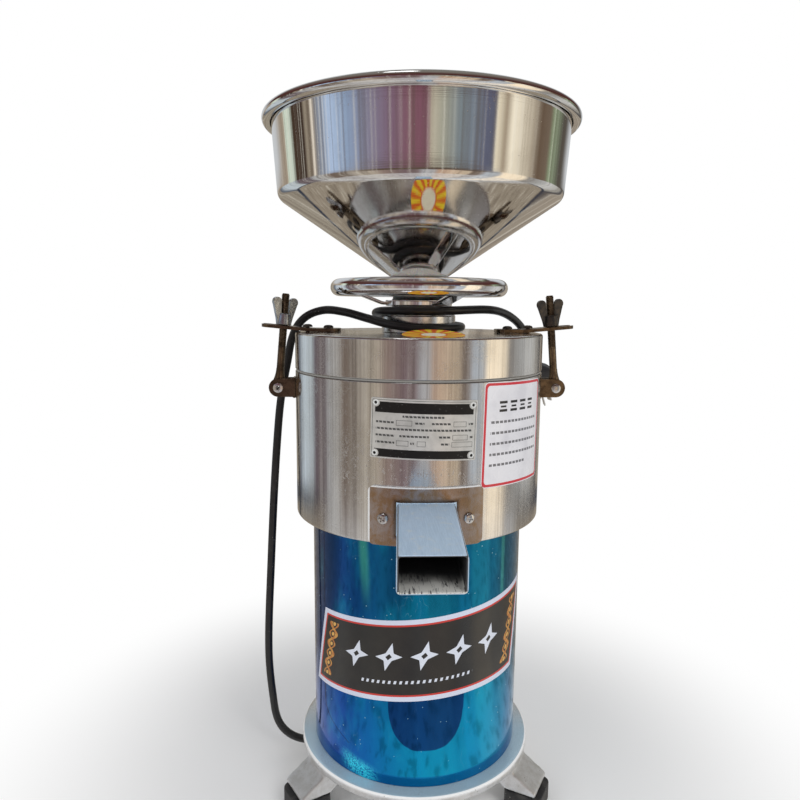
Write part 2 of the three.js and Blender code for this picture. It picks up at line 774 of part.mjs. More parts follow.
function makePot() {
  const skirtInner = casingRadius + fitGap;
  const shell = turned([
    [sealRadius + fitGap, potFloorBottom], [skirtInner, potFloorBottom], [skirtInner, potBottom],
    [potRadius, potBottom], [potRadius, potTop], [potInner, potTop], [potInner, ledgeTop],
    [potInner - ledgeWidth, ledgeTop], [potInner - ledgeWidth, ledgeTop - ledgeDepth],
    [potInner, ledgeTop - ledgeDepth - ledgeWidth], [potInner, potFloorTop],
    [potHubRadius, potFloorTop], [potHubRadius, potHubTop], [sealRadius + fitGap, potHubTop],
  ], wideSides);
  const pot = cut(shell, ...outletHoles(spoutOutlet), ...outletHoles(chuteOutlet).map(turnedBack));
  addPiece('pot_body', pot, polishedAluminium);
  addPiece('shaft_seal', ringOf(shaftRadius + fitGap, sealRadius, potFloorBottom,
    potFloorBottom + sealHeight), blackRubber);
  const basketOuter = basketFootRadius + 2 * basketWall
    + ((basketTopRadius - basketFootRadius) * (separatorTop - basketBottom)) / basketHeight;
  addPiece('separator_ring', ringOf(basketOuter + separatorClearance, potInner - fitGap,
    separatorBottom, separatorTop, wideSides), brushedSteel);
  addPiece('milk_spout', outletForm(spoutOutlet), brushedSteel);
  addPiece('residue_chute', turnedBack(outletForm(chuteOutlet)), brushedSteel);
  const sides = ['left', 'right'];
  outletScrewPlaces(spoutOutlet).forEach((place, i) => addPiece(`spout_screw_${sides[i]}`, place(panScrew()), zincPlate));
  outletScrewPlaces(chuteOutlet).forEach((place, i) =>
    addPiece(`chute_screw_${sides[1 - i]}`, turnedBack(place(panScrew())), zincPlate));
}

function makeDataPlate() {
  let plate = bentPlate(outletInner, dataPlateThickness, dataPlateWidth, dataPlateBottom, dataPlateTall, dataPlateAzimuth);
  const turn = THREE.MathUtils.radToDeg((dataPlateWidth / 2 - rivetInset) / outletInner);
  for (const side of [-1, 1]) {
    for (const height of [dataPlateBottom + rivetInset, dataPlateBottom + dataPlateTall - rivetInset]) {
      const rivet = rod(rivetRadius, dataPlateThickness / 2 + rivetProud, tinySides, rivetRadius / 2)
        .rotateY(radians(90)).translate(outletInner + dataPlateThickness / 2, 0, 0)
        .rotateZ(radians(dataPlateAzimuth + side * turn)).translate(0, 0, height);
      plate = join(plate, rivet);
    }
  }
  addPiece('data_plate', plate, plateSilver);
}

// Gasket, lid and the threaded bush of the upper stone

function makeLid() {
  addPiece('lid_gasket', ringOf(potInner, potRadius - gasketInset, gasketBottom,
    gasketBottom + gasketThickness, wideSides), paleRubber);
  const edge = lidEdgeRadius * (1 - Math.SQRT1_2);
  const cap = turned([
    [lidInner, lidBottom], [potRadius, lidBottom], [potRadius, lidTop - lidEdgeRadius],
    [potRadius - edge, lidTop - edge], [potRadius - lidEdgeRadius, lidTop],
    [bushSpigotRadius + fitGap, lidTop], [bushSpigotRadius + fitGap, lidTop - lidWall],
    [lidInner - lidEdgeRadius / 2, lidTop - lidWall], [lidInner, lidTop - lidWall - lidEdgeRadius / 2],
  ], wideSides);
  const holes = [];
  for (const x of [-lugScrewOuter, -lugScrewInner, lugScrewInner, lugScrewOuter]) {
    holes.push(rod(screwShankRadius + fitGap, lidWall + 2 * cutOverrun, tinySides)
      .translate(x, 0, lidTop - lidWall - cutOverrun));
  }
  addPiece('lid', cut(cap, ...holes), polishedAluminium);
  addPiece('lid_bush', turned([
    [sleeveRadius + threadGap, bushBottom - bushSpigotLength], [bushSpigotRadius, bushBottom - bushSpigotLength],
    [bushSpigotRadius, bushBottom], [bushRadius, bushBottom], [bushRadius, bushTop - runGap],
    [bushRadius - runGap, bushTop], [sleeveRadius + threadGap, bushTop],
  ], midSides), brushedSteel);
}

// Feed set: the non-turning collar, the handwheel with its sleeve and stone, the hopper

function makeFeedSet() {
  const carrier = new THREE.Group();
  const wheel = new THREE.Group();
  grinder.add(carrier);
  carrier.add(wheel);
  addPiece('feed_sleeve', turned([
    [sleeveBore, sleeveBottom], [sleeveFlangeRadius, sleeveBottom],
    [sleeveFlangeRadius, sleeveBottom + sleeveFlangeThickness],
    [sleeveRadius, sleeveBottom + sleeveFlangeThickness], [sleeveRadius, sleeveTop], [sleeveBore, sleeveTop],
  ], midSides), darkSteel, wheel);
  addPiece('upper_stone', ringOf(stoneBore, stoneRadius, upperStoneBottom, upperStoneTop), greyStone, wheel);
  addPiece('handwheel', handwheelForm(), chromePlate, wheel);
  addPiece('feed_collar', collarForm(), whiteNylon, carrier);
  addPiece('hopper', hopperForm(), mirrorSteel, carrier);
}

function handwheelForm() {
  const rim = [];
  for (let i = 0; i < ringTubeSides; i++) {
    const turn = (2 * Math.PI * i) / ringTubeSides;
    rim.push([ringCentre + ringTubeRadius * Math.cos(turn), ringHeight + ringTubeRadius * Math.sin(turn)]);
  }
  let wheel = join(turned(rim, wideSides),
    ringOf(sleeveRadius + fitGap, hubRadius, hubBottom, hubBottom + hubHeight));
  const [inner, outer] = [hubRadius - runGap, ringCentre - ringTubeRadius / 2];
  const [low, high] = [hubBottom + runGap / 2, ringHeight - spokeThickness / 2];
  const spoke = shapeOf([
    [inner, low], [hubRadius + runGap, low], [outer, high], [outer, high + spokeThickness],
    [hubRadius + runGap, low + spokeThickness], [inner, low + spokeThickness],
  ]);
  around(spokeCount, spokeAzimuth, (turn) => {
    wheel = join(wheel, acrossY(spoke, spokeWidth).rotateZ(turn));
  });
  return wheel;
}

function collarForm() {
  const outline = [];
  for (let i = 0; i < 2 * knurlCount; i++) {
    const turn = (Math.PI * i) / knurlCount;
    const radius = collarRadius - (i % 2) * knurlDepth;
    outline.push([radius * Math.cos(turn), radius * Math.sin(turn)]);
  }
  const bore = rod(hopperNeckRadius + fitGap, collarHeight + 2 * cutOverrun, midSides).translate(0, 0, -cutOverrun);
  return cut(extrude(shapeOf(outline), collarHeight), bore).translate(0, 0, collarBottom);
}

function hopperForm() {
  const knee = hopperBottom + hopperKneeRise;
  const slant = hopperKneeRound * hopperKneeOutShare;
  const drop = hopperKneeRound * hopperKneeUpShare;
  const beadHeight = hopperTop - hopperBeadRadius;
  const beadCentre = hopperReach - hopperBeadRadius;
  const bead = hopperBeadTurns.map((turn) => [
    beadCentre + hopperBeadRadius * Math.cos(radians(turn)), beadHeight + hopperBeadRadius * Math.sin(radians(turn))]);
  return turned([
    [hopperNeckRadius - hopperSheet, hopperBottom - hopperNeckDepth],
    [hopperNeckRadius, hopperBottom - hopperNeckDepth], [hopperNeckRadius, hopperBottom],
    [hopperShoulderRadius, hopperBottom], [hopperKneeRadius - slant, knee - drop],
    [hopperKneeRadius, knee + drop], [hopperTopRadius, beadHeight - 2 * hopperBeadRadius], ...bead,
    [hopperTopRadius - hopperSheet, beadHeight - 2 * hopperBeadRadius],
    [hopperKneeRadius - hopperSheet, knee + drop], [hopperKneeRadius - slant - hopperSheet, knee - drop + hopperSheet],
    [hopperShoulderRadius - hopperSheet, hopperBottom + hopperSheet],
    [hopperNeckRadius - hopperSheet, hopperBottom + hopperSheet],
  ], wideSides);
}

// Swing clamps: right-hand forms, turned half round for the left side

function bracketForm() {
  const wallX = potRadius + fitGap;
  const base = block(bracketBaseThickness, 2 * (boltEyeThickness / 2 + fitGap + earThickness), bracketHeight,
    wallX + bracketBaseThickness / 2, 0, pivotHeight);
  const ear = new THREE.Shape();
  ear.moveTo(wallX, pivotHeight - earRadius);
  ear.lineTo(pivotX, pivotHeight - earRadius);
  ear.absarc(pivotX, pivotHeight, earRadius, radians(-90), radians(90));
  ear.lineTo(wallX, pivotHeight + earRadius);
  const earOffset = boltEyeThickness / 2 + fitGap + earThickness / 2;
  const hole = rodAcross(pinRadius + fitGap, 2 * (earOffset + earThickness), smallSides).translate(pivotX, 0, pivotHeight);
  return cut(join(base, acrossY(ear, earThickness, smallSides / 2).translate(0, earOffset, 0),
    acrossY(ear, earThickness, smallSides / 2).translate(0, -earOffset, 0)), hole);
}

function pinForm() {
  const halfGrip = boltEyeThickness / 2 + fitGap + earThickness + fitGap;
  const end = halfGrip + pinHeadThickness;
  return turned([
    [0, -end], [pinHeadRadius, -end], [pinHeadRadius, -halfGrip], [pinRadius, -halfGrip],
    [pinRadius, halfGrip], [pinHeadRadius, halfGrip], [pinHeadRadius, end], [0, end],
  ], smallSides).rotateX(radians(90)).translate(pivotX, 0, pivotHeight);
}

function boltForm() {
  const eye = rodAcross(boltEyeRadius, boltEyeThickness, smallSides);
  const shoulder = rod(boltShoulderRadius, boltShoulderLength, smallSides / 2, boltRadius);
  const clip = block(4 * boltEyeRadius, boltEyeThickness, 4 * boltShoulderLength);
  const stem = join(eye, common(shoulder, clip), rod(boltRadius, boltLength, tinySides));
  const hole = rodAcross(pinRadius + fitGap, boltEyeThickness + 2 * cutOverrun, smallSides);
  return cut(stem, hole);
}

function wingNutForm() {
  const hub = rod(nutRadius, nutHeight, smallSides, nutTopRadius);
  const [tipX, tipZ] = [wingSpan / 2 - wingTipRadius, wingRise - wingTipRadius];
  let nut = hub;
  for (const side of [0, halfTurn]) {
    const wing = new THREE.Shape();
    wing.moveTo(boltRadius + runGap / 2, fitGap);
    wing.lineTo(nutRadius, fitGap);
    wing.lineTo(tipX + wingTipRadius, tipZ);
    wing.absarc(tipX, tipZ, wingTipRadius, 0, radians(wingTipSweep));
    wing.lineTo(boltRadius + runGap / 2, nutHeight);
    nut = join(nut, acrossY(wing, wingThickness).rotateZ(radians(side)));
  }
  const bore = rod(boltRadius + fitGap, wingRise + 2 * cutOverrun, smallSides).translate(0, 0, -cutOverrun);
  return cut(nut, bore);
}

// The lug lies flat on the lid and bends up square to the bolt, slotted from its tip
const lugFlatTop = lidTop + fitGap + lugThickness;
const lugCrossX = pivotX - lugGrip * Math.sin(radians(boltLean));
const lugCrossZ = pivotHeight + lugGrip * Math.cos(radians(boltLean));
const lugTopAt = (x) => Math.max(lugFlatTop, lugCrossZ + (x - lugCrossX) * Math.tan(radians(boltLean)));

function lugForm() {
  const bendX = lugCrossX - (lugCrossZ - lugFlatTop) / Math.tan(radians(boltLean));
  const tipTop = lugTopAt(lugReach);
  const profile = shapeOf([
    [lugInner, lugFlatTop - lugThickness], [bendX, lugFlatTop - lugThickness],
    [lugReach, tipTop - lugThickness], [lugReach, tipTop], [bendX, lugFlatTop], [lugInner, lugFlatTop],
  ]);
  const plan = extrude(roundedShape(lugReach - lugInner, lugWidth, lugTipRadius), 4 * lugThickness + lidHeight)
    .translate((lugReach + lugInner) / 2, 0, lidTop - lidHeight / 2);
  const slotEnd = lugCrossX - lugSlotWidth / 2;
  const slot = block(lugReach - slotEnd + cutOverrun, lugSlotWidth, lidHeight,
    (lugReach + slotEnd + cutOverrun) / 2, 0, lidTop);
  const holes = [lugScrewInner, lugScrewOuter].map((x) =>
    rod(screwShankRadius + fitGap, lidHeight, tinySides).translate(x, 0, lidTop - lidHeight / 2));
  return cut(common(acrossY(profile, lugWidth), plan), slot, ...holes);
}

function makeClamp(side, turn, wingTurn) {
  const clamp = new THREE.Group();
  clamp.rotation.z = radians(turn);
  grinder.add(clamp);
  addPiece(`clamp_bracket_${side}`, bracketForm(), brownedSteel, clamp);
  addPiece(`pivot_pin_${side}`, pinForm(), brushedSteel, clamp);
  addPiece(`clamp_lug_${side}`, lugForm(), brownedSteel, clamp);
  for (const [place, x] of [['inner', lugScrewInner], ['outer', lugScrewOuter]]) {
    const screw = addPiece(`lug_screw_${side}_${place}`, panScrew(), zincPlate, clamp);
    screw.position.set(x, 0, lugTopAt(x + screwHeadRadius) + fitGap);
  }
  const swing = new THREE.Group();
  swing.position.set(pivotX, 0, pivotHeight);
  swing.rotation.y = radians(-boltLean);
  clamp.add(swing);
  addPiece(`swing_bolt_${side}`, boltForm(), brownedSteel, swing);
  const nut = addPiece(`wing_nut_${side}`, wingNutForm(), side === 'left' ? zincPlate : darkSteel, swing);
  nut.position.z = lugGrip + nutSeatGap;
  nut.rotation.z = radians(wingTurn);
}

// Power switch on the casing's right rear

function makeSwitch() {
  const [tall, wide] = [bezelTall - 2 * switchBodyInset, bezelWidth - 2 * switchBodyInset];
  const bezel = block(bezelTall, bezelWidth, bezelThickness, 0, 0, bezelThickness / 2);
  const body = block(tall, wide, switchBodyDepth, 0, 0, (bezelThickness - switchBodyDepth) / 2);
  const wellTall = 2 * (rockerHalfTall + rockerWellGap);
  const wellWide = 2 * (rockerHalfWide + fitGap);
  const well = block(wellTall, wellWide, rockerWellDepth + cutOverrun, 0, 0,
    bezelThickness - (rockerWellDepth - cutOverrun) / 2);
  const pivot = bezelThickness - rockerSkirt;
  const pinHole = rodAcross(rockerPinRadius + fitGap, wellWide + 2 * rockerPinProud, tinySides).translate(0, 0, pivot);
  addPiece('switch_housing', switchPlaced(cut(join(bezel, body), well, pinHole)), blackPlastic);
  const form = join(acrossY(shapeOf([
    [-rockerHalfTall, -rockerSkirt], [0, -rockerKeel], [rockerHalfTall, -rockerSkirt],
    [rockerHalfTall, rockerProud], [0, rockerSaddle], [-rockerHalfTall, rockerProud],
  ]), 2 * rockerHalfWide), rodAcross(rockerPinRadius, 2 * (rockerHalfWide + rockerPinProud - fitGap), tinySides));
  const rocker = form.rotateY(radians(rockerTilt)).translate(0, 0, pivot);
  addPiece('switch_rocker', switchPlaced(rocker), redPlastic);
}

// Power cord between the gland in the base and the plug behind the pot

function makeCord() {
  const gland = turned([
    [0, -wellWall], [glandBodyRadius, -wellWall], [glandBodyRadius, fitGap], [glandNutRadius, fitGap],
    [glandNutRadius, glandNutLength], [glandBodyRadius, glandNutLength],
    [glandTipRadius, glandNutLength + glandTaper], [0, glandNutLength + glandTaper],
  ], smallSides);
  addPiece('cord_gland', glandPlaced(gland), blackRubber);
  const section = new THREE.Shape();
  for (let i = 0; i < cordSides; i++) {
    const turn = (2 * Math.PI * i) / cordSides;
    section[i ? 'lineTo' : 'moveTo'](cordDiameter / 2 * Math.cos(turn), cordDiameter / 2 * Math.sin(turn));
  }
  const route = new THREE.CatmullRomCurve3(cordRoute.map((point) => new THREE.Vector3(...point)), false, 'centripetal');
  const cord = new THREE.ExtrudeGeometry(section, { steps: cordSteps, extrudePath: route, bevelEnabled: false });
  addPiece('power_cord', cord, blackRubber);
  const end = new THREE.Vector3(...cordRoute[cordRoute.length - 1]);
  const heading = route.getTangent(1);
  addPlug(end.addScaledVector(heading, fitGap), heading);
}

// The plug hangs by its neck: its own -Z follows the cord's heading
function addPlug(place, heading) {
  const bodyTop = -plugNeckLength;
  const body = extrude(roundedShape(plugWidth, plugThickness, plugShoulder / 2), plugBodyLength - plugShoulder)
    .translate(0, 0, bodyTop - plugBodyLength);
  const shoulder = new THREE.CylinderGeometry(plugShoulderShare, plugShoulderRootShare, plugShoulder + fitGap, squareSides)
    .rotateY(radians(halfTurn / squareSides)).rotateX(radians(90))
    .scale(plugWidth * Math.SQRT1_2, plugThickness * Math.SQRT1_2, 1)
    .translate(0, 0, bodyTop - (plugShoulder + fitGap) / 2);
  const neck = rod(plugNeckRadius, plugNeckLength + plugShoulder, smallSides, cordDiameter / 2 + 2 * fitGap)
    .translate(0, 0, bodyTop - plugShoulder);
  const pinTop = bodyTop - plugBodyLength + runGap;
  const pin = () => block(plugPinWidth, plugPinThickness, plugPinLength + runGap, 0, 0, pinTop - (plugPinLength + runGap) / 2);
  const plug = join(body, shoulder, neck,
    pin().rotateZ(radians(90 + plugPinLean)).translate(plugPinSpread, 0, 0),
    pin().rotateZ(radians(90 - plugPinLean)).translate(-plugPinSpread, 0, 0),
    pin().rotateZ(radians(90)).translate(0, -plugEarthOffset, 0));
  const mesh = addPiece('power_plug', plug, blackRubber);
  mesh.position.copy(place);
  mesh.quaternion.setFromUnitVectors(new THREE.Vector3(0, 0, -1), heading);
}

makeBase();
makeCasing();
makeShields();
makeStator();
makeRotor();
makePot();
makeDataPlate();
makeLid();
makeFeedSet();
makeClamp('right', 0, rightWingTurn);
makeClamp('left', halfTurn, leftWingTurn);
makeSwitch();
makeCord();

export default grinder;
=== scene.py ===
import bmesh
import bpy
import numpy as np
from mathutils import Matrix, Vector


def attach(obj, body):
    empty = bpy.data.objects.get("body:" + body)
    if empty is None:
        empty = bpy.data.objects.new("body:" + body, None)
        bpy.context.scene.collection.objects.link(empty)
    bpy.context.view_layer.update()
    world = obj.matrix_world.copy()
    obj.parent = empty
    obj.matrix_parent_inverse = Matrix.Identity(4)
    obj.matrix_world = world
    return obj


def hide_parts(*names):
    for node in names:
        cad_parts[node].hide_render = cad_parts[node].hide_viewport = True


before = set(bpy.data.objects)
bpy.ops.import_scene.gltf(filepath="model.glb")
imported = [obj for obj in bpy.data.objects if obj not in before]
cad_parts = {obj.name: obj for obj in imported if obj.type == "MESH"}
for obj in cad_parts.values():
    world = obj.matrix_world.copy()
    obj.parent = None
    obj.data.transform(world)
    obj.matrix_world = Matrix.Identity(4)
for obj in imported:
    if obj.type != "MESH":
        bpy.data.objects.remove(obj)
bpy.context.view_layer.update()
print("frame loaded")

mm = 0.001
tau = 2 * np.pi


# angles are degrees
def sine(angle):
    return np.sin(np.radians(angle))


def cosine(angle):
    return np.cos(np.radians(angle))


def tangent(angle):
    return np.tan(np.radians(angle))


def linked(name, data):
    made = bpy.data.objects.new(name, data)
    bpy.context.collection.objects.link(made)
    return made


# Camera

view = {"place": (-0.046, -0.6556, 0.482), "lens": 30.3, "yaw": -2.5, "pitch": -8.13, "roll": 0.44}

lens = bpy.data.cameras.new("photoView")
lens.lens = view["lens"]
lens.clip_start, lens.clip_end = 0.01, 50
camera = linked("photoView", lens)
camera.matrix_world = (
    Matrix.Translation(view["place"])
    @ Matrix.Rotation(np.radians(view["yaw"]), 4, "Z")
    @ Matrix.Rotation(np.radians(90 + view["pitch"]), 4, "X")
    @ Matrix.Rotation(np.radians(view["roll"]), 4, "Z")
)
bpy.context.scene.camera = camera


# Shader values and materials

class Wire:
    # a number on a shader socket: arithmetic on it adds Math nodes
    def __init__(self, finish, socket):
        self.finish, self.socket = finish, socket

    def math(self, operation, *others):
        return self.finish.node("ShaderNodeMath", {"operation": operation}, [self, *others])

    def __add__(self, other): return self.math("ADD", other)
    def __radd__(self, other): return self.math("ADD", other)
    def __sub__(self, other): return self.math("SUBTRACT", other)
    def __rsub__(self, other): return self.finish.node("ShaderNodeMath", {"operation": "SUBTRACT"}, [other, self])
    def __mul__(self, other): return self.math("MULTIPLY", other)
    def __rmul__(self, other): return self.math("MULTIPLY", other)
    def __truediv__(self, other): return self.math("DIVIDE", other)
    def __lt__(self, other): return self.math("LESS_THAN", other)
    def __gt__(self, other): return self.math("GREATER_THAN", other)
    def __mod__(self, other): return self.math("FLOORED_MODULO", other)
    def __pow__(self, other): return self.math("POWER", other)
    def __abs__(self): return self.math("ABSOLUTE")
    def __or__(self, other): return self.math("MAXIMUM", other)


def hypotenuse(a, b):
    return (a * a + b * b).math("SQRT")


def anyOf(masks):
    total = masks[0]
    for mask in masks[1:]:
        total = total | mask
    return total


# a maker of rectangular masks: middle across, middle up, width and height
def boxes(u, v):
    return lambda cu, cv, w, h: (abs(u - cu) < w / 2) * (abs(v - cv) < h / 2)


class Finish:
    # one material; lengths in its patterns are millimetres of Object coordinates
    def __init__(self, name, color=(0.5, 0.5, 0.5), **constants):
        self.material = bpy.data.materials.new(name)
        self.material.use_nodes = True
        self.tree = self.material.node_tree
        self.tree.nodes.clear()
        output = self.tree.nodes.new("ShaderNodeOutputMaterial")
        self.shader = self.tree.nodes.new("ShaderNodeBsdfPrincipled")
        self.tree.links.new(self.shader.outputs[0], output.inputs[0])
        self.shader.inputs["Base Color"].default_value = (*color, 1)
        for socket, value in constants.items():
            self.shader.inputs[socket.replace("_", " ")].default_value = value
        self.locate()

    def locate(self):
        spot = self.node("ShaderNodeTexCoord", out="Object")
        self.place = self.node("ShaderNodeVectorMath", {"operation": "SCALE"}, {"Vector": spot, "Scale": 1000.0})

    def node(self, kind, settings={}, inputs={}, out=0):
        made = self.tree.nodes.new(kind)
        for key, value in settings.items():
            setattr(made, key, value)
        pairs = inputs.items() if isinstance(inputs, dict) else enumerate(inputs)
        for key, value in pairs:
            self.feed(made.inputs[key], value)
        return Wire(self, made.outputs[out])

    def feed(self, socket, value):
        if isinstance(value, Wire):
            self.tree.links.new(value.socket, socket)
        elif socket.type == "RGBA":
            socket.default_value = (*value, 1)
        else:
            socket.default_value = value

    def axes(self):
        split = self.tree.nodes.new("ShaderNodeSeparateXYZ")
        self.feed(split.inputs[0], self.place)
        return [Wire(self, socket) for socket in split.outputs]

    # how far round the axis from a middle azimuth, measured along a radius
    def arc(self, middle, radius):
        x, y, z = self.axes()
        c, s = cosine(middle), sine(middle)
        return (y * c - x * s).math("ARCTAN2", x * c + y * s) * radius

    # noise with a grain of so many millimetres along each axis
    def noise(self, grain, detail=3.0, rough=0.5, twist=0.0):
        factors = tuple(float(1 / g) for g in np.broadcast_to(grain, 3))
        spot = self.node("ShaderNodeVectorMath", {"operation": "MULTIPLY"}, [self.place, factors])
        inputs = {"Vector": spot, "Scale": 1.0, "Detail": detail, "Roughness": rough, "Distortion": twist}
        return self.node("ShaderNodeTexNoise", {}, inputs, "Fac")

    def cells(self, grain):
        return self.node("ShaderNodeTexVoronoi", {}, {"Vector": self.place, "Scale": 1 / grain}, "Distance")

    # small dots, only where a coarser noise is above a level
    def specks(self, grain, size, patch, level):
        return (self.cells(grain) < size) * (self.noise(patch, 2.0) > level)

    # thin hairlines along the contours of a noise
    def hairlines(self, grain, width, twist=0.0):
        return abs(self.noise(grain, 2.0, 0.4, twist) - 0.5) < width

    def between(self, value, low, high):
        return self.node("ShaderNodeMapRange", {"interpolation_type": "SMOOTHSTEP"},
                         {"Value": value, "From Min": float(low), "From Max": float(high)})

    def mixed(self, share, one, other):
        return self.node("ShaderNodeMix", {"data_type": "RGBA"}, {0: share, 6: one, 7: other}, 2)

    # each layer is a share and a colour that covers what is below it
    def layered(self, color, *layers):
        for share, cover in layers:
            color = self.mixed(share, color, cover)
        return color

    def bumped(self, height, depth, strength=1.0):
        inputs = {"Height": height, "Distance": depth * mm, "Strength": strength}
        self.feed(self.shader.inputs["Normal"], self.node("ShaderNodeBump", {}, inputs, "Normal"))

    def paint(self, color, roughness, metallic=None):
        for name, value in (("Base Color", color), ("Roughness", roughness), ("Metallic", metallic)):
            if value is not None:
                self.feed(self.shader.inputs[name], value)
        return self.material


# Mesh makers; lengths are millimetres

# quads between neighbouring rows and columns, numbered row by row
def gridFaces(rows, columns, wrapRows=False, wrapColumns=False):
    i = np.arange(rows if wrapRows else rows - 1)[:, None]
    j = np.arange(columns if wrapColumns else columns - 1)[None, :]
    below, right = (i + 1) % rows, (j + 1) % columns
    corners = (i * columns + j, i * columns + right, below * columns + right, below * columns + j)
    return np.stack(np.broadcast_arrays(*corners), -1).reshape(-1, 4).tolist()


def woven(grid, wrapRows=False, wrapColumns=False):
    return grid.reshape(-1, 3), gridFaces(*grid.shape[:2], wrapRows, wrapColumns)


def circle(sides):
    return np.linspace(0, tau, sides, endpoint=False)


# points round Z, at a radius, an angle in radians and a height
def polar(radius, angle, height):
    return np.stack(np.broadcast_arrays(radius * np.cos(angle), radius * np.sin(angle), height), -1)


# points of an oval in a section, at angles in degrees
def oval(x, z, width, tall, angles):
    return np.column_stack([x + width * cosine(angles), z + tall * sine(angles)])


def joined(*shapes):
    points, faces, start = [], [], 0
    for corners, sides in shapes:
        points.append(corners)
        faces += [[start + k for k in side] for side in sides]
        start += len(corners)
    return np.concatenate(points), faces


def placed(shape, *matrices):
    points, faces = shape
    for matrix in reversed(matrices):
        m = np.array(matrix)
        points = points @ m[:3, :3].T + m[:3, 3]
    return points, faces


def move(x, y, z):
    return Matrix.Translation((x, y, z))


def turn(degrees, axis="Z"):
    return Matrix.Rotation(np.radians(degrees), 4, axis)


# every corner of a closed outline becomes an arc, with a holding point just outside its two ends
def rounded(corners, radii, steps=4, hold=0.5):
    corners = np.asarray(corners, float)
    radii = np.broadcast_to(radii, len(corners))
    outline = []
    for before, corner, after, radius in zip(np.roll(corners, 1, 0), corners, np.roll(corners, -1, 0), radii):
        a, b = before - corner, after - corner
        longA, longB = np.linalg.norm(a), np.linalg.norm(b)
        a, b = a / longA, b / longB
        half = np.arccos(np.clip(a @ b, -1, 1)) / 2
        if radius <= 0 or half > 1.56:
            outline.append(corner[None])
            continue
        reach = min(radius / np.tan(half), 0.45 * min(longA, longB))
        centre = corner + (a + b) / np.linalg.norm(a + b) * reach / np.cos(half)
        sweep = np.pi - 2 * half
        t = np.linspace(0, 1, steps + 1)[:, None]
        first, last = corner + a * reach - centre, corner + b * reach - centre
        arc = centre + (np.sin((1 - t) * sweep) * first + np.sin(t * sweep) * last) / np.sin(sweep)
        first, last = [corner + side * (reach + min(hold, 0.4 * max(long - 2 * reach, 0)))
                       for side, long in ((a, longA), (b, longB))]
        outline += [first[None], arc, last[None]]
    return np.concatenate(outline)


# corners of an upright rectangle
def oblong(inner, outer, low, high):
    return [(inner, low), (outer, low), (outer, high), (inner, high)]


def rectangle(width, tall, radius, steps=5):
    return rounded(oblong(-width / 2, width / 2, -tall / 2, tall / 2), radius, steps)


# a closed outline of radius and height, carried once round Z
def turned(outline, sides=144):
    r, z = np.asarray(outline, float).T[:, :, None]
    return woven(polar(r, circle(sides), z), True, True)


# rows of the same closed section, with both ends closed
def lofted(rows):
    count, columns = rows.shape[:2]
    points, faces = woven(rows, False, True)
    return points, faces + [list(range(columns))[::-1], [(count - 1) * columns + k for k in range(columns)]]


# a flat outline in X and Y, raised from one height to another
def raised(outline, low, high):
    flat = np.asarray(outline, float)
    return lofted(np.stack([np.column_stack([flat, np.full(len(flat), z)]) for z in (low, high)]))


# a flat outline in X and Z, widened along Y to both sides
def widened(outline, width, middle=0.0):
    flat = np.asarray(outline, float)
    sides = (middle + width / 2, middle - width / 2)
    return lofted(np.stack([np.column_stack([flat[:, 0], np.full(len(flat), y), flat[:, 1]]) for y in sides]))


def block(width, depth, tall, x=0.0, y=0.0, z=0.0):
    w, d = width / 2, depth / 2
    return raised(oblong(x - w, x + w, y - d, y + d), z - tall / 2, z + tall / 2)


def rod(radius, low, high, sides=32):
    return raised(polar(radius, circle(sides), 0)[:, :2], low, high)


# a sheet wrapped on a cylinder: u runs round it, v up it, and the rows narrow by the corner radius
def wrapped(width, tall, radius, corner, azimuth, middle, tilt=0.0, columns=49, steps=6):
    edge = corner * (1 - np.sin(np.linspace(0, np.pi / 2, steps + 1))[::-1])
    straight = np.linspace(-tall / 2 + corner, tall / 2 - corner, 9)[1:-1]
    v = np.unique(np.round(np.concatenate([-tall / 2 + edge, straight, tall / 2 - edge[::-1]]), 5))
    drop = np.clip(np.abs(v) - (tall / 2 - corner), 0, corner)
    half = width / 2 - corner + np.sqrt(np.maximum(corner ** 2 - drop ** 2, 0))
    u = half[:, None] * np.linspace(-1, 1, columns)
    v = v[:, None] + 0 * u
    c, s = cosine(tilt), sine(tilt)
    return woven(polar(radius, np.radians(azimuth) + (u * c - v * s) / radius, middle + u * s + v * c))


# a screw thread between two heights: the radius falls and rises once for each pitch along the helix
def threaded(radius, inner, low, high, pitch, depth, sides=32, rowsPerPitch=6):
    z = np.linspace(low, high, int((high - low) / pitch * rowsPerPitch) + 1)
    angle = circle(sides)
    phase = (z[:, None] / pitch - angle / tau) % 1
    r = radius - depth * np.abs(2 * phase - 1) * (0.999 if inner else 1)
    fade = np.clip(np.minimum(z - low, high - z) / (0.6 * pitch), 0, 1)[:, None]
    r = (radius - depth) + (r - radius + depth) * fade
    ends = [polar(inner, angle, at)[None] for at in (low, high)]
    return woven(np.concatenate([ends[0], polar(r, angle, z[:, None]), ends[1]]), True, True)


def meshOf(name, shape, closed=True):
    points, faces = shape
    mesh = bpy.data.meshes.new(name)
    mesh.from_pydata((np.asarray(points) * mm).tolist(), [], faces)
    work = bmesh.new()
    work.from_mesh(mesh)
    bmesh.ops.remove_doubles(work, verts=work.verts, dist=1e-6)
    if closed:
        bmesh.ops.recalc_face_normals(work, faces=work.faces)
    work.to_mesh(mesh)
    work.free()
    return mesh


def addModifier(piece, kind, **settings):
    made = piece.modifiers.new(kind.lower(), kind)
    for name, value in settings.items():
        setattr(made, name, value)


# writes what the modifiers make into the piece's own mesh
def settle(piece):
    bpy.context.view_layer.update()
    graph = bpy.context.evaluated_depsgraph_get()
    mesh = bpy.data.meshes.new_from_object(piece.evaluated_get(graph))
    piece.modifiers.clear()
    piece.data = mesh


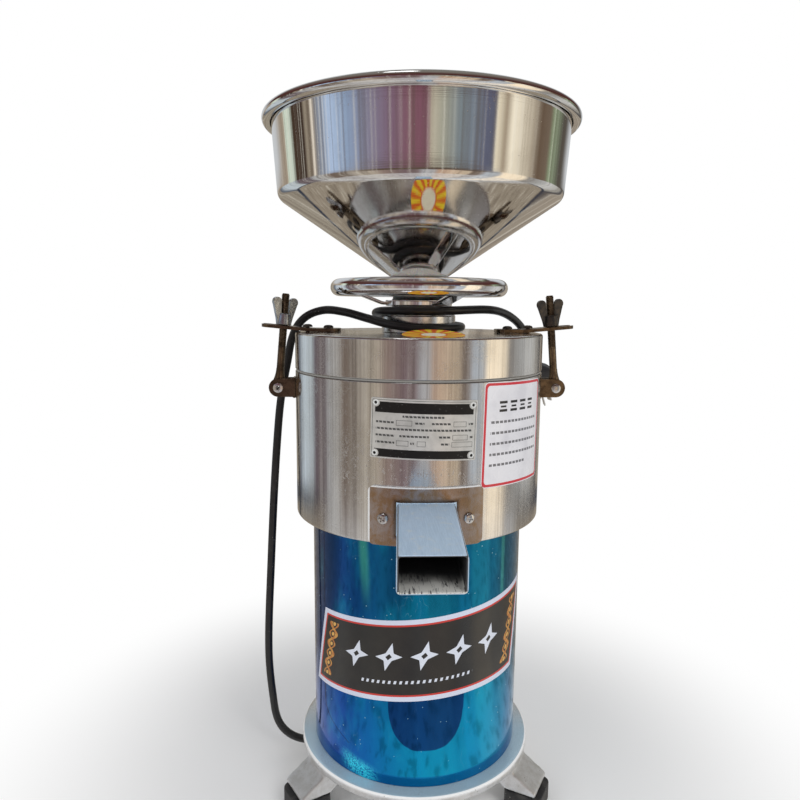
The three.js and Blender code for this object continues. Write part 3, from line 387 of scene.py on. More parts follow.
def combined(piece, tools, operation):
    helpers = []
    for shape in tools:
        helpers.append(linked("helper", meshOf("helper", shape)))
        addModifier(piece, "BOOLEAN", operation=operation, object=helpers[-1], solver="EXACT")
    settle(piece)
    for helper in helpers:
        bpy.data.objects.remove(helper)


def addPiece(name, shape, finish, body="stand", replaces=(), cuts=(), unions=(), bevel=None,
             crease=35, sheet=None, voxel=None):
    piece = linked(name, meshOf(name, shape, sheet is None))
    if sheet:
        addModifier(piece, "SOLIDIFY", thickness=sheet * mm, offset=1)
        settle(piece)
    if unions:
        combined(piece, unions, "UNION")
    if cuts:
        combined(piece, cuts, "DIFFERENCE")
    if voxel:
        addModifier(piece, "REMESH", mode="VOXEL", voxel_size=voxel * mm)
        addModifier(piece, "SMOOTH", factor=0.5, iterations=6)
        settle(piece)
    if bevel:
        addModifier(piece, "BEVEL", width=bevel * mm, segments=3, limit_method="ANGLE", angle_limit=np.radians(30),
                    use_clamp_overlap=True)
        settle(piece)
    piece.data.name = name
    piece.data.shade_smooth()
    if not voxel:
        piece.data.set_sharp_from_angle(angle=np.radians(crease))
    if bevel:
        addModifier(piece, "WEIGHTED_NORMAL", keep_sharp=True)
        settle(piece)
    piece.data.materials.clear()
    piece.data.materials.append(finish)
    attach(piece, body)
    if replaces:
        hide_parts(*replaces)
    return piece


# Power cord: the route's points repeat those of the part's source

cord = {
    "diameter": 8.0, "length": 1.0914, "sides": 6,
    "route": [
        [-87, 15.3, 17], [-98, 17.1, 16], [-109.3, 18.7, 13.9], [-120.3, 19.8, 14.3], [-130.4, 20.4, 18.1],
        [-138.7, 20.4, 25], [-144.5, 20.4, 34.2], [-147.8, 20.4, 44.8], [-150, 20.4, 61], [-153.8, 20.5, 112],
        [-149.2, 21, 222], [-142.4, 23.8, 332], [-137.4, 27.6, 386], [-130.4, 30.2, 424], [-125.6, 30.4, 447],
        [-119, 28.7, 460.6], [-108.6, 23.8, 470], [-91.5, 15, 475.4], [-72, 3.4, 473.8], [-50, -16.4, 468.4],
        [-31, -34.4, 463.8], [-7, -43, 460.6], [17, -38.2, 460.2], [35, -22.3, 460.3], [41.4, 2.4, 460.6],
        [33.6, 24.4, 461.6], [14.8, 38.8, 464], [-9.2, 40.5, 466.6], [-31, 27.6, 469.6], [-41.2, 4.6, 472.6],
        [-37.2, -18.4, 475], [-21, -35.8, 475.8], [3, -41.6, 475.8], [26.5, -36, 476.2], [66, -4.5, 477],
        [81.5, 12, 475], [96, 28.6, 469.6], [109, 43.4, 460.6], [119.6, 54.4, 447.2], [125.8, 61, 430.4],
    ],
}


# a centripetal Catmull-Rom line through the points, written as Bezier handles
def routeLine(points):
    p = np.asarray(points, float)
    p = np.vstack([2 * p[0] - p[1], p, 2 * p[-1] - p[-2]])
    steps = np.diff(p, axis=0)
    k = np.sqrt(np.linalg.norm(steps, axis=1))[:, None]
    before, after = k[:-1], k[1:]
    slope = steps[:-1] / before - (steps[:-1] + steps[1:]) / (before + after) + steps[1:] / after
    return p[1:-1], p[1:-1] - slope * before / 3, p[1:-1] + slope * after / 3


knots, lefts, rights = routeLine(cord["route"])
line = bpy.data.curves.new("leadLine", "CURVE")
line.dimensions = "3D"
line.bevel_depth = cord["diameter"] / 2 * mm
line.bevel_resolution = cord["sides"]
line.resolution_u = 12
line.use_fill_caps = True
spline = line.splines.new("BEZIER")
spline.bezier_points.add(len(knots) - 1)
for name, values in (("co", knots), ("handle_left", lefts), ("handle_right", rights)):
    spline.bezier_points.foreach_set(name, (values * mm).ravel().tolist())
for point in spline.bezier_points:
    point.handle_left_type = point.handle_right_type = "FREE"
lead = linked("lead", line)
print("camera and cord placed")


# Finishes of metal

def mirrorSteelFinish():
    f = Finish("mirrorSteel", (0.8, 0.79, 0.77), Metallic=1.0)
    streaks = f.noise((2.2, 2.2, 300), 3.0, 0.6)
    lathe = f.noise((60, 60, 0.4), 2.0, 0.6)
    smudge = f.noise(30, 4.0, 0.6, 0.6)
    dust = f.specks(5, 0.07, 24, 0.5)
    scuffs = f.hairlines((16, 16, 70), 0.003, 0.8) * f.between(f.noise(40, 2.0), 0.45, 0.6)
    color = f.layered(
        (0.8, 0.79, 0.775),
        (f.between(smudge, 0.45, 0.8) * 0.4, (0.62, 0.6, 0.57)),
        (f.between(streaks, 0.5, 0.75) * 0.16, (0.5, 0.48, 0.46)),
        (dust * 0.8 | scuffs * 0.5, (0.86, 0.85, 0.82)))
    f.bumped(lathe * 0.25 + f.noise(60, 2.0) * 2 - dust * 0.3, 0.12, 0.35)
    rough = 0.035 + f.between(smudge, 0.5, 0.85) * 0.08 + f.between(lathe, 0.5, 0.8) * 0.05
    return f.paint(color, rough + dust * 0.3 + scuffs * 0.12)


lidFlat = 457.5


def polishedAluminiumFinish(name, splash=False):
    f = Finish(name, (0.78, 0.78, 0.78), Metallic=1.0, Anisotropic=0.75, Anisotropic_Rotation=0.25)
    z = f.axes()[2]
    lines = f.noise((40, 40, 0.35), 3.0, 0.7)
    upright = f.noise((1.8, 1.8, 220), 3.0, 0.65)
    wear = f.noise(50, 3.0, 0.6)
    swirl = f.hairlines((9, 9, 21), 0.007, 2.0) | f.hairlines((5, 5, 8), 0.008, 3.0)
    swirl = swirl * f.between(wear, 0.4, 0.6) * 0.7
    flat = z > lidFlat
    color = f.layered(
        (0.8, 0.8, 0.8),
        (f.between(wear, 0.3, 0.75), (0.68, 0.67, 0.65)),
        # painted reflection: darker upright streaks drawn out along the height
        (f.between(upright, 0.42, 0.66) * 0.42, (0.4, 0.38, 0.37)),
        (swirl * 0.5, (0.9, 0.9, 0.9)),
        (f.specks(6, 0.06, 20, 0.5) * 0.7, (0.9, 0.89, 0.86)),
        (flat, (0.8, 0.8, 0.79)))
    rough = 0.12 + f.between(lines, 0.3, 0.8) * 0.06 + swirl * 0.2 + f.between(wear, 0.4, 0.8) * 0.05
    if splash:
        # dried milk: short thin marks low on the left front and over the spout
        arc = f.arc(-100, potRadius)
        zone = f.between(abs(arc + 34), 40, 16) * f.between(abs(z - 345), 42, 8)
        zone = zone | f.between(abs(arc - 22), 50, 20) * f.between(abs(z - 341), 10, 3) * 0.8
        marks = (f.noise((3, 3, 6), 3.0, 0.6, 1.0) > 0.6) * zone
        color = f.mixed(marks * 0.75, color, (0.88, 0.87, 0.84))
        rough = rough + marks * 0.35
    f.bumped(lines + swirl * 0.6, 0.025, 0.5)
    return f.paint(color, rough, 1 - flat * 0.5)


# a thin blue film over steel, with painted light: darker navy on the left, lighter teal on the right; with the overlap,
# a fold and bubbles
def blueFilmFinish():
    f = Finish("blueFilm", (0.0, 0.25, 0.45), Metallic=0.9, Coat_Weight=0.08, Coat_Roughness=0.04)
    x, y, z = f.axes()
    arc = f.arc(-90, casing["radius"])
    ripple = f.noise((60, 60, 120), 2.0, 0.4, 0.4)
    cloud = f.noise((26, 26, 60), 3.0, 0.6)
    specks = f.specks(7, 0.075, 24, 0.5)
    hair = f.hairlines((12, 12, 36), 0.0018, 1.0) * f.between(cloud, 0.5, 0.62)
    bend = f.between(z, 112, 66)
    seam = (abs(arc + 108 - bend * bend * 50) < 0.9) * (z > 77)
    # the outline of a round painted dark reflection below the label
    patch = (abs(arc - 4) / 35) ** 2.6 + (abs(z - 136) / 52) ** 2.6 + (f.noise(9, 2.0) - 0.5) * 0.1
    # a painted highlight low on the left, broken up by noise
    glare = f.between(abs(arc + 60), 26, 6) * f.between(abs(z - 56 + (arc + 60) * 0.25), 13, 3)
    glare = glare * f.between(f.noise(1.5, 3.0, 0.7), 0.36, 0.56)
    filmColourAndPaintedLight = f.layered(
        (0.0, 0.09, 0.44),
        # painted light: lighter teal towards the right, darker navy towards the left
        (f.between(x, -74, 2), (0.0, 0.31, 0.56)),
        # painted shade: darker towards the top, under the pot
        (f.between(z, 80, 250) * 0.55, (0.0, 0.03, 0.07)),
        (f.between(cloud, 0.45, 0.8) * 0.35, (0.0, 0.42, 0.64)),
        # painted reflections: upright streaks above the label, green, dark and pale, and a painted dark right edge
        (f.between(abs(arc + 54 + (z - 250) * 0.06), 7, 1) * f.between(z, 205, 265) * 0.8, (0.06, 0.42, 0.34)),
        (f.between(abs(arc + 22), 16, 4) * f.between(z, 205, 235) * 0.6, (0.0, 0.05, 0.16)),
        (f.between(abs(arc - 84), 4, 1) * f.between(z, 200, 225) * 0.6, (0.1, 0.6, 0.62)),
        (f.between(arc, 84, 104) * 0.5, (0.0, 0.15, 0.42)),
        # a painted dark reflection below the label, the dark band at the foot and a painted glare beside it
        (f.between(patch, 1.03, 0.97) * (z < 136) * 0.9, (0.0, 0.03, 0.17)),
        (f.between(z, 59, 57.5) * 0.6, (0.0, 0.14, 0.44)),
        (glare, (0.03, 0.72, 0.95)),
        (seam * 0.8, (0.0, 0.02, 0.12)),
        (specks * 0.8 | hair * 0.35, (0.4, 0.7, 0.85)))
    f.bumped(ripple * 3 + seam * 0.8 + glare * 0.3, 0.2, 0.5)
    rough = 0.07 + f.between(ripple, 0.4, 0.7) * 0.06 + specks * 0.3 + glare * 0.2
    return f.paint(filmColourAndPaintedLight, rough, 0.88 - glare * 0.6)


def castAluminiumFinish():
    f = Finish("castAluminium", (0.6, 0.61, 0.62), Metallic=0.88)
    x, y, z = f.axes()
    grain = f.noise(0.7, 3.0, 0.7)
    lumps = f.noise(8, 4.0, 0.6)
    face = f.between(z, 45.5, 47.5)
    filmReflection = face * f.between(y, 40, -30)
    wornEdgeHighlight = f.between(abs(hypotenuse(x, y) - 115.3), 1.1, 0.3) * f.between(z, 44, 46.5)
    pits = f.specks(4, 0.12, 14, 0.52)
    color = f.layered(
        (0.74, 0.75, 0.76),
        (f.between(lumps, 0.35, 0.7), (0.62, 0.62, 0.61)),
        (f.between(grain, 0.4, 0.7) * 0.3, (0.5, 0.5, 0.49)),
        (face * 0.6, (0.72, 0.77, 0.82)),
        # painted reflection of the blue film on the top face, towards the front
        (filmReflection * 0.7, (0.4, 0.62, 0.76)),
        # a worn edge with a painted highlight: near white and less metallic
        (wornEdgeHighlight, (0.95, 0.95, 0.95)),
        (pits * 0.7, (0.24, 0.21, 0.18)))
    f.bumped((grain * 1.2 + lumps * 0.8 - pits * 0.8) * (1 - face * 0.7), 0.22, 0.6)
    rough = 0.4 - face * 0.2 - wornEdgeHighlight * 0.12 + f.between(grain, 0.3, 0.7) * 0.1
    return f.paint(color, rough, 0.8 - wornEdgeHighlight * 0.5 - filmReflection * 0.5)


# brushed sheet with its grain upright
def basketSteelFinish():
    color = (0.66, 0.67, 0.68)
    f = Finish("basketSteel", color, Metallic=1.0)
    brushed = f.noise((0.5, 0.5, 46), 3.0, 0.6)
    wear = f.noise(13, 4.0, 0.6, 0.5)
    shade = f.layered(
        tuple(0.9 * c for c in color),
        (f.between(brushed, 0.3, 0.75), tuple(1.12 * c for c in color)),
        (f.between(wear, 0.62, 0.95), (0.4, 0.31, 0.2)))
    f.bumped(brushed + wear * 0.6, 0.05, 0.5)
    return f.paint(shade, 0.24 + f.between(brushed, 0.3, 0.8) * 0.12)


# an outlet's tube is bluish brushed steel; its flange is browned by the weld, with a painted highlight along its cut
# edge
def outletFinish(name, o, back):
    f = Finish(name, (0.6, 0.66, 0.74), Metallic=0.8)
    x, y, z = f.axes()
    if back:
        x, y = x * -1.0, y * -1.0
    along = y * -1.0 - potRadius
    across = abs(x + along * tangent(o["yaw"]))
    up = z - (o["top"] - o["tall"] / 2) + along * tangent(o["slope"])
    wide, tall, long = o["width"] / 2, o["tall"] / 2, o["reach"] - potRadius
    outside = (across - wide) | (abs(up) - tall)
    inside = outside < -0.7
    plate = (outside > 0.5) * (along < 4)
    fine = f.noise((0.8, 12, 12), 3.0, 0.6)
    cloud = f.noise(9, 4.0, 0.6, 0.5)
    scratch = f.hairlines((5, 14, 5), 0.01, 1.2)
    brown = f.layered(
        (0.34, 0.22, 0.13),
        (f.between(cloud, 0.35, 0.65), (0.42, 0.36, 0.34)),
        (f.between(x, wide - 4, wide + 14) * 0.4, (0.34, 0.24, 0.15)))
    edge = o["flange"][1] / 2
    # painted highlight: a bright, less metallic line along the flange's cut edge
    cut = (hypotenuse(x, y) < potRadius + 2.1) * plate
    cut = cut | (f.between(z - o["flangeMiddle"], edge - 1.5, edge - 0.7) | f.between(x * -1.0, 46.6, 47.2)) * plate
    # inside it gets painted shade, and its floor near the mouth is scoured, with a painted light on the scratches
    bed = inside * (up < 2.2 - tall) * f.between(along + f.noise(14, 2.0) * 24, long - 22, long + 2)
    scouredAndLit = f.between(f.noise((1.6, 16, 5), 3.0, 0.6, 0.6) + scratch * 0.2, 0.34, 0.5)
    shade = f.layered(
        (0.46, 0.62, 0.8),
        (f.between(fine, 0.3, 0.75), (0.56, 0.72, 0.9)),
        (f.between(cloud, 0.5, 0.85) * 0.5, (0.78, 0.78, 0.74)),
        (plate, brown),
        (f.between(outside, 4.5, 0.5) * plate * 0.85, (0.06, 0.04, 0.025)),
        (cut, (0.88, 0.89, 0.9)),
        # painted shade inside the tube
        (inside * 0.94, (0.06, 0.05, 0.045)),
        # scratches with a painted light on the floor near the mouth
        (bed * scouredAndLit, (0.8, 0.8, 0.76)),
        (f.specks(3.5, 0.08, 12, 0.5) * 0.5 * (1 - inside), (0.3, 0.28, 0.26)))
    f.bumped(fine * 0.6 + cloud * 0.6 + scratch * bed, 0.05, 0.5)
    rough = 0.34 + f.between(fine, 0.3, 0.8) * 0.08 + bed * 0.2 - plate * 0.08
    return f.paint(shade, rough, 0.25 + plate * 0.65 - cut * 0.6)


def chromeFinish():
    f = Finish("chromePlate", (0.86, 0.86, 0.87), Metallic=1.0)
    smear = f.noise(17, 4.0, 0.6, 0.6)
    specks = f.specks(4.5, 0.09, 11, 0.56)
    color = f.layered(
        (0.87, 0.87, 0.88),
        (f.between(smear, 0.5, 0.8) * 0.5, (0.7, 0.69, 0.66)),
        (specks * 0.8, (0.24, 0.19, 0.14)))
    f.bumped(smear * 2 - specks * 0.5, 0.07, 0.4)
    return f.paint(color, 0.04 + f.between(smear, 0.45, 0.85) * 0.12 + specks * 0.35)


def metalFinish(name, color, other, rough, grain=4.0, metallic=1.0):
    f = Finish(name, color, Metallic=metallic)
    wear = f.noise(grain, 4.0, 0.6, 0.4)
    fine = f.noise(grain / 9, 2.0, 0.6)
    f.bumped(wear + fine * 0.5, 0.08, 0.5)
    return f.paint(f.mixed(f.between(wear, 0.35, 0.7), color, other), rough + f.between(wear, 0.3, 0.75) * 0.14)


# Finishes of rubber, plastic and stone

def rubberFinish(name, color=(0.018, 0.018, 0.02), rough=0.34, dusty=0.5, grain=1.2):
    f = Finish(name, color)
    cloud = f.noise(14, 3.0, 0.6)
    specks = f.specks(3.2, 0.13, 12, 0.58)
    shade = f.layered(
        color,
        (f.between(cloud, 0.45, 0.85) * 0.35 * dusty, (0.2, 0.19, 0.17)),
        (specks * dusty, (0.62, 0.6, 0.56)))
    f.bumped(f.noise(grain, 2.0) + specks * 0.4, 0.06, 0.35)
    return f.paint(shade, rough + f.between(cloud, 0.3, 0.8) * 0.16 + specks * 0.3)


def stoneFinish():
    f = Finish("bondedStone", (0.42, 0.41, 0.39))
    grit = f.cells(1.1)
    shade = f.layered(
        (0.3, 0.29, 0.28),
        (f.between(grit, 0.15, 0.6), (0.56, 0.55, 0.52)),
        (f.noise(1.4, 2.0) > 0.64, (0.14, 0.14, 0.15)))
    f.bumped(f.noise(0.8, 3.0, 0.7) + grit, 0.25, 0.7)
    return f.paint(shade, 0.86 + f.noise(5) * 0.1)


def nylonFinish():
    f = Finish("whiteNylon", (0.84, 0.84, 0.81), Subsurface_Weight=0.25, Subsurface_Scale=0.004)
    cloud = f.noise(8, 3.0, 0.6)
    shade = f.mixed(f.between(cloud, 0.4, 0.8), (0.86, 0.86, 0.84), (0.72, 0.71, 0.66))
    f.bumped(f.noise(1.5, 2.0), 0.08, 0.4)
    return f.paint(shade, 0.34 + f.between(cloud, 0.3, 0.8) * 0.15)


# layers or windings: a sine of the height, or of the turn round the axis
def stripedFinish(name, color, dark, pitch, rough, roundAxis=False):
    f = Finish(name, color, Metallic=0.9)
    way = f.arc(0, 60) if roundAxis else f.axes()[2]
    wave = (way * (tau / pitch)).math("SINE") * 0.5 + 0.5
    cloud = f.noise(9, 3.0, 0.6)
    shade = f.layered(dark, (wave * 0.8, color), (f.between(cloud, 0.5, 0.85) * 0.5, dark))
    f.bumped(wave + cloud * 0.3, 0.2, 0.6)
    return f.paint(shade, rough + cloud * 0.15)


potRadius = 118.5
casing = {"radius": 102.7, "wall": 2, "low": 48.6, "high": 286.7}
metals = {
    "zinc": metalFinish("zincPlate", (0.56, 0.6, 0.64), (0.42, 0.44, 0.46), 0.24, 6.0),
    "browned": metalFinish("brownedSteel", (0.2, 0.15, 0.1), (0.09, 0.065, 0.045), 0.2, 9.0),
    "dark": metalFinish("darkSteel", (0.06, 0.057, 0.055), (0.13, 0.11, 0.09), 0.3, 5.0, 0.85),
    "bright": metalFinish("brightSteel", (0.72, 0.72, 0.73), (0.56, 0.55, 0.53), 0.16, 7.0),
    "thread": metalFinish("threadSteel", (0.26, 0.3, 0.31), (0.13, 0.13, 0.13), 0.3, 6.0),
    "copper": stripedFinish("copperWinding", (0.62, 0.27, 0.12), (0.2, 0.07, 0.03), 1.4, 0.34, True),
    "core": stripedFinish("laminatedCore", (0.4, 0.41, 0.42), (0.14, 0.13, 0.13), 1.0, 0.46),
}
mirrorSteel = mirrorSteelFinish()
lidAluminium = polishedAluminiumFinish("lidAluminium")
potAluminium = polishedAluminiumFinish("potAluminium", True)
castAluminium = castAluminiumFinish()
chrome = chromeFinish()
cordRubber = rubberFinish("cordRubber", (0.012, 0.012, 0.013), rough=0.28, dusty=0.3)
padRubber = rubberFinish("padRubber", rough=0.62, dusty=0.8, grain=2.5)
sealRubber = rubberFinish("sealRubber", (0.3, 0.29, 0.27), 0.5, 0.6)
rivetWhite = rubberFinish("rivetWhite", (0.72, 0.72, 0.7), 0.3, 0.15)
blackPlastic = rubberFinish("blackPlastic", (0.022, 0.022, 0.025), 0.42, 0.3, 0.7)
redPlastic = rubberFinish("redPlastic", (0.5, 0.025, 0.02), 0.24, 0.1, 3.0)
stone = stoneFinish()
print("finishes made")


# Hopper: a bowl of one thin sheet with its edge rolled outwards

hopper = {"sheet": 1.2, "neck": 20, "neckFoot": 470.3, "foot": 507.3, "shoulder": 27, "knee": (132.4, 577.8),
          "kneeRound": 9, "top": 137.5, "rollCentre": (140.95, 645.35), "rollRadius": 4.65, "rollEnd": -126}


def makeHopper():
    h = hopper
    t = h["sheet"]
    kneeR, kneeZ = h["knee"]
    rollR, rollZ = h["rollCentre"]
    roll = lambda r: oval(rollR, rollZ, r, r, np.linspace(180, h["rollEnd"], 24))
    # each side ends at a far point above the axis, which is then dropped
    outer = rounded([(h["neck"], h["neckFoot"]), (h["neck"], h["foot"]), (h["shoulder"], h["foot"]), (kneeR, kneeZ),
                     (h["top"], rollZ), (0, 700)], [0, 1.5, 2.5, h["kneeRound"], 0, 0], 8, 1.2)[:-2]
    inner = rounded([(0, 700), (h["top"] - t, rollZ), (kneeR - t, kneeZ + 0.3 * t), (h["shoulder"] - t / 2, h["foot"] + t),
                     (h["neck"] - t, h["foot"] + t), (h["neck"] - t, h["neckFoot"])],
                    [0, 0, h["kneeRound"] - t, 2, 2.5, 0], 8, 1.2)[2:]
    outline = np.vstack([outer, roll(h["rollRadius"] - t), roll(h["rollRadius"])[::-1], inner])
    addPiece("hopperBowl", turned(outline, 192), mirrorSteel, "hopper_set", ["hopper"], crease=50)


# Knurled collar: the radius falls by a smooth groove once for each tooth round it

collar = {"radius": 29.5, "bore": 20.3, "low": 489.3, "high": 507, "teeth": 60, "depth": 0.9}


def makeCollar():
    c = collar
    outline = rounded(oblong(c["bore"], c["radius"], c["low"], c["high"]), [0.5, 1.2, 1.6, 0.5], 4)
    points, faces = turned(outline, c["teeth"] * 8)
    radius = np.hypot(points[:, 0], points[:, 1])
    angle = np.arctan2(points[:, 1], points[:, 0])
    groove = c["depth"] * np.clip(0.5 - 0.75 * np.cos(c["teeth"] * angle), 0, 1) * np.clip((radius - 26) / 3, 0, 1)
    points[:, :2] *= ((radius - groove) / radius)[:, None]
    addPiece("knurledCollar", (points, faces), nylonFinish(), "feed_carrier", ["feed_collar"])


# Handwheel: a chrome ring on three bent straps, with the feed sleeve and its thread

handwheel = {"ring": 76.7, "height": 497, "tube": 8, "hub": (26.3, 32, 480, 485.5), "strap": (19, 3),
             "azimuths": (-55, 65, 185),
             "bend": [(28, 482.6), (34.5, 482.6), (37.5, 483.4), (70, 496), (73.4, 496.6)]}
sleeve = {"radius": 26, "bore": 21.5, "flange": 46, "low": 364.6, "flangeTop": 372, "high": 489, "pitch": 3, "depth": 1.1}


# a flat strap along a line of radius and height: its rounded section stands square to the line
def strap(path, width, thickness):
    p = np.asarray(path, float)
    way = np.gradient(p, axis=0)
    way /= np.linalg.norm(way, axis=1)[:, None]
    across = rectangle(width, thickness, 0.45 * thickness, 4)
    rows = np.empty((len(p), len(across), 3))
    rows[:, :, 0] = p[:, 0, None] - way[:, 1, None] * across[:, 1]
    rows[:, :, 1] = across[:, 0]
    rows[:, :, 2] = p[:, 1, None] + way[:, 0, None] * across[:, 1]
    return lofted(rows)


def makeHandwheel():
    w, s = handwheel, sleeve
    ring = turned(oval(w["ring"], w["height"], w["tube"], w["tube"], np.linspace(0, 360, 40, endpoint=False)), 160)
    hub = turned(rounded(oblong(*w["hub"]), [0.3, 1, 1, 0.3]), 96)
    straps = [placed(strap(w["bend"], *w["strap"]), turn(a)) for a in w["azimuths"]]
    addPiece("handwheelRing", joined(ring, hub, *straps), chrome, "handwheel_set", ["handwheel"])
    root = s["radius"] - s["depth"]
    outline = rounded([(s["bore"], s["low"]), (s["flange"], s["low"]), (s["flange"], s["flangeTop"]),
                       (root, s["flangeTop"]), (root, s["high"]), (s["bore"], s["high"])], [0.4, 1, 1, 2, 0.4, 0.4])
    thread = threaded(s["radius"], s["bore"] + 1, s["flangeTop"] + 4, s["high"] - 0.3, s["pitch"], s["depth"], 72, 8)
    body = joined(turned(outline, 96), thread)
    addPiece("threadedSleeve", body, metals["thread"], "handwheel_set", ["feed_sleeve"])


# Lid with its bush and gasket

lid = {"wall": 4, "low": 421, "high": 455, "bore": 31.3, "edge": 2}
bush = {"radius": 35.5, "spigot": 31, "bore": 26.7, "low": 440.3, "seat": 455.3, "high": 472}
gasket = (113.6, 117.7, 418.8, 420.8)


def makeLid():
    l, b = lid, bush
    inner, under = potRadius - l["wall"], l["high"] - l["wall"]
    outline = rounded([(inner, l["low"]), (potRadius, l["low"]), (potRadius, l["high"]), (l["bore"], l["high"]),
                       (l["bore"], under), (inner, under)], [0.4, 0.5, l["edge"], 0.6, 0.6, 4], 8, 1)
    addPiece("lidCap", turned(outline, 192), lidAluminium, "stand", ["lid"])
    outline = rounded([(b["bore"], b["low"]), (b["spigot"], b["low"]), (b["spigot"], b["seat"]), (b["radius"], b["seat"]),
                       (b["radius"], b["high"]), (b["bore"], b["high"])], [0.5, 1, 0.2, 0.5, 1.8, 0.8], 5)
    addPiece("lidBush", turned(outline, 128), metals["bright"], "stand", ["lid_bush"])
    addPiece("lidSeal", turned(rounded(oblong(*gasket), 0.6), 160), sealRubber, "stand", ["lid_gasket"])


# Outlets: a square tube that slopes down from the pot, on a flange bent to the pot's wall

spout = {"width": 49, "tall": 28, "sheet": 1.5, "corner": 3.5, "top": 319.4, "slope": 1.6, "yaw": 2.4, "reach": 227.5,
         "flange": (98, 50.5), "flangeMiddle": 307.3, "screws": 36, "screwHeight": 305.2}
chute = {"width": 84, "tall": 38, "sheet": 1.5, "corner": 4, "top": 411, "slope": 12, "yaw": 0, "reach": 227.5,
         "flange": (112, 50), "flangeMiddle": 391.5, "screws": 49.5, "screwHeight": 391.5}
# distances from the axis: where the screws are spaced, where their heads and holes start; and the holes' own radius
screws = {"ring": 120.8, "head": 121.1, "flangeHole": 119.5, "wallHole": 120, "hole": 2.3}
# the bead's section: distances in front of the axis, and how far outside the tube
weld = [(120.9, 0.0), (122.6, 0.1), (120.9, 2.2), (119.9, 1.0)]


# points of the tube's section at a distance in front of the axis: it falls by the slope and goes aside by the yaw
def tubeRow(o, y, grow):
    section = rectangle(o["width"] + 2 * grow, o["tall"] + 2 * grow, max(o["corner"] + grow, 0.6))
    upright = cosine(o["slope"])
    middle = o["top"] - o["tall"] / 2 / upright - (y - potRadius) * tangent(o["slope"])
    aside = (y - potRadius) * tangent(o["yaw"])
    return np.column_stack([section[:, 0] - aside, np.full(len(section), -y), middle + section[:, 1] / upright])


def tubeBar(o, near, far, grow):
    return lofted(np.stack([tubeRow(o, near, grow), tubeRow(o, far, grow)]))


def outletTube(o, near=112.0, middle=130, lip=0.5, lead=8):
    far, wall = o["reach"], -o["sheet"]
    outer = [(near, 0), (near + 4, 0), (middle, 0), (far - lead, 0), (far - lip, 0), (far, -lip)]
    inner = [(far, lip + wall), (far - lip, wall), (far - lead, wall), (middle, wall), (near, wall)]
    return woven(np.stack([tubeRow(o, y, grow) for y, grow in outer + inner]), True, True)


def weldBead(o):
    rows = np.stack([tubeRow(o, y, grow) for y, grow in weld])
    rows[:, :, 1] += potRadius - np.sqrt(potRadius ** 2 - np.clip(rows[:, :, 0], -90, 90) ** 2)
    return woven(rows, True, True)


def screwAt(azimuth, radius, height):
    return turn(azimuth) @ move(radius, 0, height) @ turn(90, "Y")


def outletScrew(o, sign, radius):
    azimuth = -90 + sign * np.degrees(np.arcsin(o["screws"] / screws["ring"]))
    return screwAt(azimuth, radius, o["screwHeight"])


def panHead(radius=4.8, tall=2.8, steps=10):
    t = np.linspace(0, np.pi / 2, steps)
    dome = np.column_stack([radius * np.cos(t) ** 0.7, 0.5 + (tall - 0.5) * np.sin(t)])
    outline = np.vstack([[(0, -7), (2, -7), (2, 0), (radius, 0)], dome])
    outline[-1, 0] = 0
    return turned(outline, 40)


# one upright prism with the outline of a cross
def crossRecess(tall=2.8, arm=2.7, half=0.6):
    outline = []
    for c, q in ((1, 0), (0, 1), (-1, 0), (0, -1)):
        outline += [(c * x - q * y, q * x + c * y) for x, y in ((arm, -half), (arm, half), (half, half))]
    return raised(outline, tall - 1.5, tall + 2)


def addScrew(node, matrix, finish, spin):
    addPiece(node.replace("_", "") + "Head", placed(panHead(), matrix), finish, "stand", [node],
             cuts=[placed(crossRecess(), matrix, turn(spin))], crease=40)


def makeOutlet(name, node, o, back, screwNodes):
    finish = outletFinish(name + "Steel", o, back)
    side = turn(180 if back else 0)
    plate = wrapped(*o["flange"], potRadius + 0.3, 5, -90, o["flangeMiddle"], columns=65)
    holes = [placed(rod(screws["hole"], -5, 5, 20), outletScrew(o, sign, screws["flangeHole"])) for sign in (-1, 1)]
    cuts = [placed(shape, side) for shape in [tubeBar(o, 100, 140, -o["sheet"])] + holes]
    addPiece(name + "Flange", placed(plate, side), finish, "stand", [node], cuts=cuts, sheet=2, bevel=0.35)
    tube = placed(joined(outletTube(o), weldBead(o)), side)
    addPiece(name + "Tube", tube, finish, "stand", crease=40)
    for sign, screw in zip((-1, 1), screwNodes):
        addScrew(screw, side @ outletScrew(o, sign, screws["head"]), metals["bright"], 20 + 50 * sign)


# Separating pot: a turned shell with a floor, an inner ledge and two openings

pot = {"outline": [(22.3, 287), (103, 287), (103, 282), (118.5, 282), (118.5, 418.6), (113.5, 418.6), (113.5, 365),
                   (110.5, 365), (110.5, 358), (113.5, 355), (113.5, 292), (31, 292), (31, 302), (22.3, 302)],
       "edges": [0.5, 0.3, 0.6, 1.6, 0.5, 0.5, 0.6, 0.5, 0.5, 0.5, 4, 3, 1, 0.5]}


def makePot():
    cuts = [tubeBar(spout, 105, 135, 0.3), placed(tubeBar(chute, 105, 135, 0.3), turn(180))]
    for o, side in ((spout, turn(0)), (chute, turn(180))):
        cuts += [placed(rod(screws["hole"], -9, 3, 16), side @ outletScrew(o, sign, screws["wallHole"]))
                 for sign in (-1, 1)]
    addPiece("potShell", turned(rounded(pot["outline"], pot["edges"], 4, 1), 192), potAluminium, "stand", ["pot_body"],
             cuts=cuts)


# Data plate: a satin plate with plain printed bars, rules and empty boxes, on four rivets

